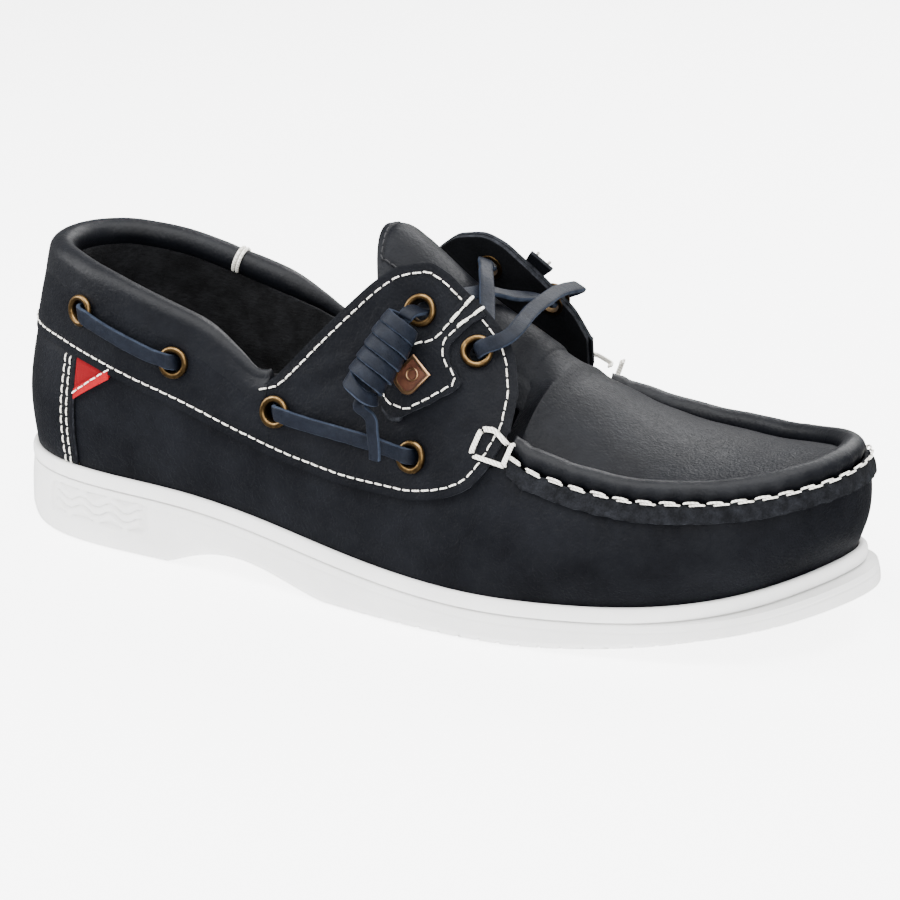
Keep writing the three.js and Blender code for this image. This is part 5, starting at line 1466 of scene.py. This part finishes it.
def makeTongue():
    t, b = np.meshgrid(np.linspace(-0.06, 1, 74), np.linspace(-1, 1, 60), indexing="ij")
    grid = tonguePoint(np.maximum(t, 0), b)
    grid[..., 0] += np.maximum(-t, 0) * 60
    grid[..., 2] -= np.maximum(-t, 0) * 60 * 1.3
    ahead, across = np.gradient(grid, axis=0), np.gradient(grid, axis=1)
    normals = unit(np.cross(across, ahead))
    normals = normals * np.sign(normals[..., 2:3])
    relief = 0.22 * ripple(grid, 24, 63) + 0.08 * ripple(grid, 6, 64)
    # a narrow binding is stitched round the free edges
    inset = np.minimum((1 - np.abs(b)) * 21, (1 - t) * 64)
    relief = relief + 0.45 * smooth((5.6 - inset) / 0.5) - 0.25 * np.exp(-((inset - 6.2) / 0.7) ** 2)
    obj = gridSheet("tongue_leather", grid, normals, 0.0, tongueShape["thickness"], [plugNavy, rawEdge],
                    relief=relief)
    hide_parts("tongue")
    start, end = toFrame(hinge + np.array([4, 0, 0])), toFrame(hinge - np.array([6, 0, 0]))
    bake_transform(obj)
    ts = np.concatenate([np.linspace(0.3, 0.93, 60), np.full(58, 0.93), np.linspace(0.93, 0.3, 60)])
    bs = np.concatenate([np.full(60, -0.71), np.linspace(-0.71, 0.71, 60)[1:-1], np.full(60, 0.71)])
    line = eased(tonguePoint(ts, bs), 10)
    up = unit(np.cross(np.gradient(line, axis=0), np.cross(np.gradient(line, axis=0), [0, 0, 1.0]))) * -1
    up = up * np.sign(up[:, 2:3])
    rows = stitchRow("tongue_stitches", [(line + up * 0.25, up)], blackThread, 2.9, 2.2, 0.8, 0.25)
    place(rows, "tongue_leather", body="tongue")


makeApron()
makeTongue()
print("apron and tongue ready")

# laces on the shoe
def bendFrom(eyelet, towards, level):
    # quarter turn of the lace out of an eyelet, into a run at this offset from the upper
    start, normal = eyelet["place"], eyelet["normal"]
    run = lastPoint(*towards) - start
    run = unit(run - run.dot(normal) * normal)
    radius = 3.3 if abs(level) > 3 else 1.9
    sign, straight = math.copysign(1, level), abs(level) - radius
    return [start + normal * sign * (straight + radius * math.sin(a)) + run * radius * (1 - math.cos(a))
            for a in (math.pi / 6, math.pi / 3, math.pi / 2)]


def laceRun(a, b, level, steps):
    def between(t):
        return mix(a["u"], b["u"], t), mix(a["v"], b["v"], t)

    middle = []
    for i in range(1, steps):
        t = mix(0.16, 0.84, (i - 1) / max(1, steps - 2))
        sag = -1.0 * math.sin(math.pi * t) if level > 3 else 0
        u, v = between(t)
        middle.append(upperPoint(u, v + share(u, sag),
                                 level - (0.7 if level > 3 else 0) * math.sin(math.pi * t)))
    return bendFrom(a, between(0.2), level) + middle + bendFrom(b, between(0.8), level)[::-1]


def makeCollarLace():
    order = [("outer", s) for s in ("low_front", "low_rear", "middle", "rear")]
    order += [("inner", s) for s in ("rear", "middle", "low_rear", "low_front")]
    stops = [eyelets[key] for key in order]
    tips = [[upperPoint(e["u"], e["v"], out) for out in (-9, -5, -1)] for e in (stops[0], stops[-1])]
    points = tips[0] + [upperPoint(stops[0]["u"], stops[0]["v"], 0.8)]
    levels = [(lace["rise"], 6), (-lace["tunnel"], 5), (lace["rise"], 4), (-lace["tunnel"], 12),
              (lace["rise"], 4), (-lace["tunnel"], 5), (lace["rise"], 6)]
    for (a, b), (level, steps) in zip(zip(stops, stops[1:]), levels):
        points += laceRun(a, b, level, steps) + [upperPoint(b["u"], b["v"], 0.8)]
    points += tips[1][::-1]
    points = np.array(points)
    ahead = np.array([points[min(i + 4, len(points) - 1)] - points[max(i - 4,
                                                                       0)] for i in range(len(points))])
    ahead[:, 2] = 0
    wide = np.array([0, 0, 1.0]) + 0.25 * unit(ahead)
    line, wide = smoothPath(points, 0.8, wide)
    obj = ribbon("collar_lace_leather", line, wide, lace["width"], lace["thickness"])
    place(obj, "lace_leather", "collar_lace")


def makeFrontLace():
    spots = []

    def put(centre, wide):
        wide = np.asarray(wide, float)
        if spots and np.linalg.norm(spots[-1][0] - centre) < 0.5:
            return
        if spots and wide.dot(spots[-1][1]) < 0:
            wide = -wide
        spots.append((centre, wide))

    def turn(e, towards, level, leaving):
        bend = bendFrom(e, towards, level)
        wide = unit(np.cross(bend[2] - bend[0], e["normal"]))
        centres = [e["place"]] + bend
        for centre in centres if leaving else centres[::-1]:
            put(centre, wide)

    def crossing(a, b, rise):
        turn(a, (a["u"], a["v"] + 0.12), lace["behind"], True)
        start, end = (upperPoint(e["u"], e["v"] + 0.1, lace["behind"]) for e in (a, b))
        for t in (0.3, 0.5, 0.7):
            spot = mix(start, end, t)
            ridge = hinge[2] + tongueShape["thickness"] / 2 + (hinge[0] - spot[0]) * 0.57
            aside = abs(spot[1]) / (tongueShape["width"] / 2)
            spot[2] = ridge + rise - tongueShape["crown"] * aside * aside * 0.55
            put(spot, (1, 0, -0.5))
        turn(b, (b["u"], b["v"] + 0.12), lace["behind"], False)

    def tie(side):
        head, axis = knotFrame(side)[:2]
        e = eyelets[side, "flap_upper"]
        ends = [head + axis * 0.6, head - axis * 0.8, upperPoint(e["u"], e["v"], 3.4)]
        for spot in ends if side == "outer" else ends[::-1]:
            put(spot, (1, 0, -0.5))

    rims = {side: heelSpot((184.5, 90.5), side) for side in ("outer", "inner")}
    tie("outer")
    crossing(eyelets["outer", "flap_upper"], eyelets["inner", "flap_lower"], 2)
    ends = [upperPoint(*rims[side], lace["rise"] + 0.4) for side in ("inner", "outer")]
    turn(eyelets["inner", "flap_lower"], rims["inner"], lace["rise"], True)
    for t in (0, 0.25, 0.5, 0.75, 1):
        bow = math.sin(math.pi * t)
        put(mix(ends[0], ends[1], t) + np.array([2.5 * bow, 0, 5.5 * bow]), (1, 0, -0.5))
    turn(eyelets["outer", "flap_lower"], rims["outer"], lace["rise"], False)
    crossing(eyelets["outer", "flap_lower"], eyelets["inner", "flap_upper"], 5)
    tie("inner")
    line, wide = smoothPath([s[0] for s in spots], 0.7, [s[1] for s in spots])
    obj = ribbon("front_lace_leather", line, wide, lace["width"], lace["thickness"])
    place(obj, "lace_leather", "front_lace")


# eyelets
ring = {"bore": 3.1, "flange": 5.4, "height": 1.5, "steps": 44}


def makeEyelet(side, spot):
    e = eyelets[side, spot]
    back = -1.4 if spot in throughFlap else 0.3
    front = 1.95
    # radius and height: round the rolled front flange, down the bore and out behind
    profile = [(ring["bore"], back - 0.6), (ring["bore"] + 0.02, front - 0.2),
               (ring["bore"] + 0.16, front + 0.35)]
    profile += [(4.35 - 1.05 * math.cos(a), front + 0.35 + 1.05 * math.sin(a))
                for a in np.linspace(0.35, math.pi - 0.4, 9)]
    profile += [(ring["flange"] + 0.02, front + 0.3), (ring["flange"], front - 0.05), (4.4, front - 0.12),
                (3.7, front - 0.2), (3.7, back), (4.5, back - 0.25), (4.4, back - 0.6)]
    angle = 2 * math.pi * np.arange(ring["steps"]) / ring["steps"]
    first = unit(np.cross(e["normal"], [0.1, 0.2, 0.97]))
    second = np.cross(e["normal"], first)
    dull = 1 + 0.012 * np.sin(3 * angle + e["u"])
    points = [e["place"] + r * dull[:, None] * (np.cos(angle)[:, None] * first + np.sin(angle)[:,
                                                                                               None] * second)
              + h * e["normal"] for r, h in profile]
    faces = gridFaces(len(profile), ring["steps"], True)
    wrap = np.arange(ring["steps"])
    end = (len(profile) - 1) * ring["steps"]
    closing = np.stack([end + wrap, end + (wrap + 1) % ring["steps"], (wrap + 1) % ring["steps"], wrap], -1)
    obj = meshObject(f"eyelet_ring_{side}_{spot}", np.concatenate(points), np.concatenate([faces, closing]),
                     [brass])
    outwards(obj)
    obj.data.shade_smooth()
    obj.data.set_sharp_from_angle(angle=math.radians(60))
    place(obj, "eyelet_brass", f"eyelet_{side}_{spot}")


# badge and tab
badge = {"spot": (158, 77.8), "width": 8.8, "height": 10.6, "corner": 6.4, "turn": -38, "lift": 3.75,
         "ringSpot": (0, 0.9), "ringRadius": 1.9, "ringHeight": 0.68, "ringWire": 0.36}


def shieldOutline(scale):
    # a plate with two square corners above and two round ones below
    w, h, r = (badge[key] / 2 * scale for key in ("width", "height", "corner"))
    turn = np.linspace(0, -math.pi / 2, 7)
    half_ = [(0, h), (w, h)] + [(w - r + r * math.cos(a), -h + r + r * math.sin(a)) for a in turn]
    return np.array(half_ + [(-x, y) for x, y in half_[:0:-1]])


def makeBadge():
    u, v = locate(badge["spot"], "outer")
    centre, normal = upperPoint(u, v, badge["lift"]), lastNormal(u, v)
    up = unit(np.array([0, 0, 1.0]) - normal[2] * normal)
    side = np.cross(up, normal)
    turn = math.radians(badge["turn"])
    side, up = side * math.cos(turn) + up * math.sin(turn), up * math.cos(turn) - side * math.sin(turn)

    def onBadge(outline, height):
        return centre + outline[:, :1] * side + outline[:, 1:] * up + height * normal

    rings = [(1.0, 0), (1.04, 0.2), (1.04, 0.75), (1.0, 0.95), (0.9, 1.0), (0.84, 0.92), (0.82, 0.6)]
    points = np.array([onBadge(shieldOutline(scale), height) for scale, height in rings])
    count = points.shape[1]
    faces = [tuple(f) for f in gridFaces(len(rings), count, True)]
    faces += [tuple(range(count))[::-1], tuple(range((len(rings) - 1) * count, len(rings) * count))]
    obj = meshObject("badge_shield", points.reshape(-1, 3), faces, [badgeEdge, enamel])
    obj.data.polygons[len(faces) - 1].material_index = 1
    steps, sides = 36, 8
    a, b = 2 * math.pi * np.arange(steps) / steps, 2 * math.pi * np.arange(sides) / sides
    middle = onBadge(badge["ringSpot"] + np.stack([np.cos(a), np.sin(a)], -1) * badge["ringRadius"],
                     badge["ringHeight"])
    out = unit(middle - onBadge(np.array([badge["ringSpot"]], float), badge["ringHeight"]))
    ringPoints = middle[:, None] + badge["ringWire"] * (np.cos(b)[None, :, None] * out[:, None]
                                                        + np.sin(b)[None, :, None] * normal)
    a, b = np.meshgrid(np.arange(steps), np.arange(sides), indexing="ij")
    nextA, nextB = (a + 1) % steps, (b + 1) % sides
    quads = np.stack([a * sides + b, nextA * sides + b, nextA * sides + nextB, a * sides + nextB], -1)
    circle = meshObject("badge_circle", ringPoints.reshape(-1, 3), quads.reshape(-1, 4), [badgeEdge])
    outwards(obj, circle)
    bpy.data.objects.remove(circle)
    obj.data.shade_smooth()
    obj.data.set_sharp_from_angle(angle=math.radians(40))
    place(obj, "badge_metal", "badge")


def makeTab():
    start, end = counterFront + 0.02, locate((45, 62), "outer")[0]
    low = curveThrough([[start, locate((31.5, 51), "outer")[1]], [end, seamV(end) - share(end, 1.2)]])
    us = stations(start, end, 0.5)
    obj = upperSheet("red_tab_cloth", us, low(us), seamV(us) + share(us, 1.5), 0.5, 1.15, 0.8,
                     [redCloth, redCloth],
                     sculpt=lambda u, v, p: 0.08 * ripple(p, 5, 81)
                     - 0.35 * smooth((v - seamV(u) + share(u, 1.5)) / share(u, 2)))
    place(obj, "red_tab", "red_tab")
    # the tab's lower edge is folded up and pinked; its fold is the red cloth painted lighter, a painted
    # highlight on the raised strip
    teeth = 0.28 * np.abs(((np.arange(len(us)) / 2.2) % 1) * 2 - 1)
    hem = upperSheet("red_tab_hem", us, low(us) - share(us, 0.5) + share(us, teeth - 0.2),
                     low(us) + share(us, 3.0), 0.4,
                     1.75, 0.7, [redFoldPaintedHighlight, redFoldPaintedHighlight], edge=0.25, sculpt=lambda u, v,
                     p: 0.08 * ripple(p, 2.5, 82))
    place(hem, "red_tab")


makeCollarLace()
makeFrontLace()
for side, spot in eyelets:
    makeEyelet(side, spot)
makeBadge()
makeTab()
print("laces, eyelets, badge and tab ready")

# seams
seam = {"inset": 3.0, "pitch": 3.55, "length": 2.55, "thread": 0.95, "patchInset": 2.2}


def onUpper(target, u, v):
    # nearest place of the upper to each target point
    for _ in range(4):
        error = target - lastPoint(u, v)
        du = (lastPoint(u + 0.02, v) - lastPoint(u - 0.02, v)) / 0.04
        dv = (lastPoint(u, v + 0.01) - lastPoint(u, v - 0.01)) / 0.02
        a, b, c = (du * du).sum(-1), (du * dv).sum(-1), (dv * dv).sum(-1)
        d, f = (error * du).sum(-1), (error * dv).sum(-1)
        det = a * c - b * b
        u, v = u + (c * d - b * f) / det, v + (a * f - b * d) / det
    return u, v


def insetLine(us, vs, distance, out):
    # evenly spaced line inside an edge, lying on the leather
    points = lastPoint(us, vs)
    run = np.concatenate([[0], np.cumsum(np.linalg.norm(np.diff(points, axis=0), axis=1))])
    even = spread(0, run[-1], 0.7)
    us, vs = np.interp(even, run, us), np.interp(even, run, vs)
    points = eased(lastPoint(us, vs), 6)
    target = eased(insideEdge(points, lastNormal(us, vs), distance), 6)
    return surfaceLine(*onUpper(target, us, vs), out)


def flapOutline(side):
    # from the heel along the lower edge, up the flap's front and back over its top to the collar
    end = flapEnd[side]
    lower = np.linspace(0, end, 500)
    upper = np.linspace(end, collarFront[side] * 0.995, 500)
    rise = np.linspace(0, 1, 14)[1:-1]
    us = np.concatenate([lower, np.full(12, end), upper])
    vs = np.concatenate([seamV(lower), mix(seamV(end), flapV(end), rise), flapV(upper)])
    return us, vs


def makeSeams():
    rows = []
    for side in ("outer", "inner"):
        us, vs = flapOutline(side)
        rows.append(insetLine(us, vs, seam["inset"] * (1 if side == "outer" else -1), 1.78))
    obj = stitchRow("quarter_stitches", rows, None, seam["pitch"], seam["length"], seam["thread"])
    place(obj, "white_thread")

    rows, thick = [], []
    for side in ("outer", "inner"):
        (rearU, rearV), (frontU, frontV) = patchEdges(side)
        ts = np.linspace(0.1, 5.8, 200)
        rear, front = lastPoint(rearU(ts), rearV(ts)), lastPoint(frontU(ts), frontV(ts))
        width = np.linalg.norm(front - rear, axis=1)
        near = seam["patchInset"] / width
        turn = np.linspace(1, 0, 40)[1:-1]
        cs = np.concatenate([1 - near, mix(near[-1], 1 - near[-1], turn), near[::-1]])
        tt = np.concatenate([ts, np.full(38, 5.8), ts[::-1]])
        line = eased(lastPoint(*patchPoint(side, tt, cs)), 8)
        us, vs = onUpper(line, *patchPoint(side, tt, cs))
        rows.append(surfaceLine(us, vs, patchOut + 0.08))
        for first in (slice(0, 24), slice(-24, None)):
            thick.append(surfaceLine(us[first], vs[first], patchOut + 0.3))
    place(stitchRow("patch_stitches", rows, None, seam["pitch"], seam["length"], seam["thread"]),
          "white_thread")
    place(stitchRow("patch_bar_tacks", thick, None, 3.9, 3.4, 1.7, 0.4, 0.02), "white_thread")

    rows = []
    for sign in (1, -1):
        for back in (1.9, 3.9):
            us = np.full(60, sign * (counterFront - back / 17))
            vs = mix(share(us, 1.5), seamV(us) - share(us, 2.5), np.linspace(0, 1, 60))
            rows.append(surfaceLine(us, vs, 1.32))
    place(stitchRow("counter_stitches", rows, None, 3.3, 2.5, 0.95), "white_thread")

    start, end = counterFront + 0.05, locate((45, 62), "outer")[0] - 0.03
    low = curveThrough([[start, locate((31.5, 51), "outer")[1]], [end, seamV(end) - share(end, 1.2)]])
    us = np.linspace(start, end, 60)
    place(stitchRow("tab_stitches", [surfaceLine(us, low(us) + share(us, 2.1), 1.85)], None, 3.1, 2.2, 0.8,
                    0.3),
          "white_thread")


def makeMoccasinStitches():
    us = np.interp(spread(pleatRun[0] + 2.5, pleatRun[-1] - 2.5, 0.6), pleatRun, pleatU)
    edge, flat = ringFrame(us)
    rows = []
    for ply in (-0.38, 0.38):
        line = edge + flat * (1.5 + 0.12 * ply) + np.array([0, 0, 0.95 + ply])
        up = unit(flat + np.array([0, 0, 0.75 + 0.4 * ply]))
        rows.append((line, up))
    obj = stitchRow("moccasin_stitches", rows, None, mocPitch, 4.5, 1.15, 0.6, 0.02)
    place(obj, "white_thread", "seam_thread")


# thread boxes that hold the ends of the moccasin roll: corners as x and z, then height above the upper
box = {"strands": [[[184, 65.3, 2.4], [182.5, 59.4, 2.4]],
                   [[185.1, 66, 2.6], [188.5, 65.8, 3.1], [193, 62.6, 3.7]],
                   [[183.8, 58.3, 2.5], [192.8, 56.6, 3.0]], [[195.8, 61.8, 7.0], [193.9, 56.8, 3.9]]],
       "thread": 0.48, "gap": 0.45}


def makeBoxes():
    parts = []
    for side in ("outer", "inner"):
        middle = upperPoint(*locate((189, 61), side), 3)
        for k, strand in enumerate(box["strands"]):
            places = [locate(spot[:2], side) for spot in strand]
            line = np.array([upperPoint(*spot, corner[2]) for spot, corner in zip(places, strand)])
            for ply in (-1, 1):
                pair = line + unit(line - middle) * ply * box["gap"]
                ends = [pair[n] - lastNormal(*places[n]) * 2.2 for n in (0, -1)]
                stops = np.concatenate([[ends[0]], pair, [ends[1]]])
                points = eased(np.concatenate([np.linspace(p, q, 7)[:-1] for p, q in zip(stops, stops[1:])]
                                              + [stops[-1:]]), 2)
                parts.append(thread(f"strand{side}{ply}{k}", points, box["thread"], whiteThread, 0.35))
    # the loop over the collar's joint on the inner side
    r = collar["radius"]
    u = np.array(jointU)
    top = flapV(u) + share(u, r + 0.4)
    normal = lastNormal(u, top)
    along = unit(lastPoint(u + 0.05, flapV(u + 0.05)) - lastPoint(u - 0.05, flapV(u - 0.05)))
    up = unit(np.cross(normal, along))
    for ply in (-0.7, 0.7):
        angles = np.linspace(-0.9, 3.6, 14)
        middle = upperPoint(u, top, 1.7 - r) + along * ply
        line = [middle + (r + 0.55) * (math.cos(a) * normal + math.sin(a) * up) for a in angles]
        parts.append(thread(f"loop{ply}", line, 0.62, whiteThread, 0.35))
    place(joined("thread_loops", parts), "white_thread")


makeSeams()
makeMoccasinStitches()
makeBoxes()
print("seams ready")
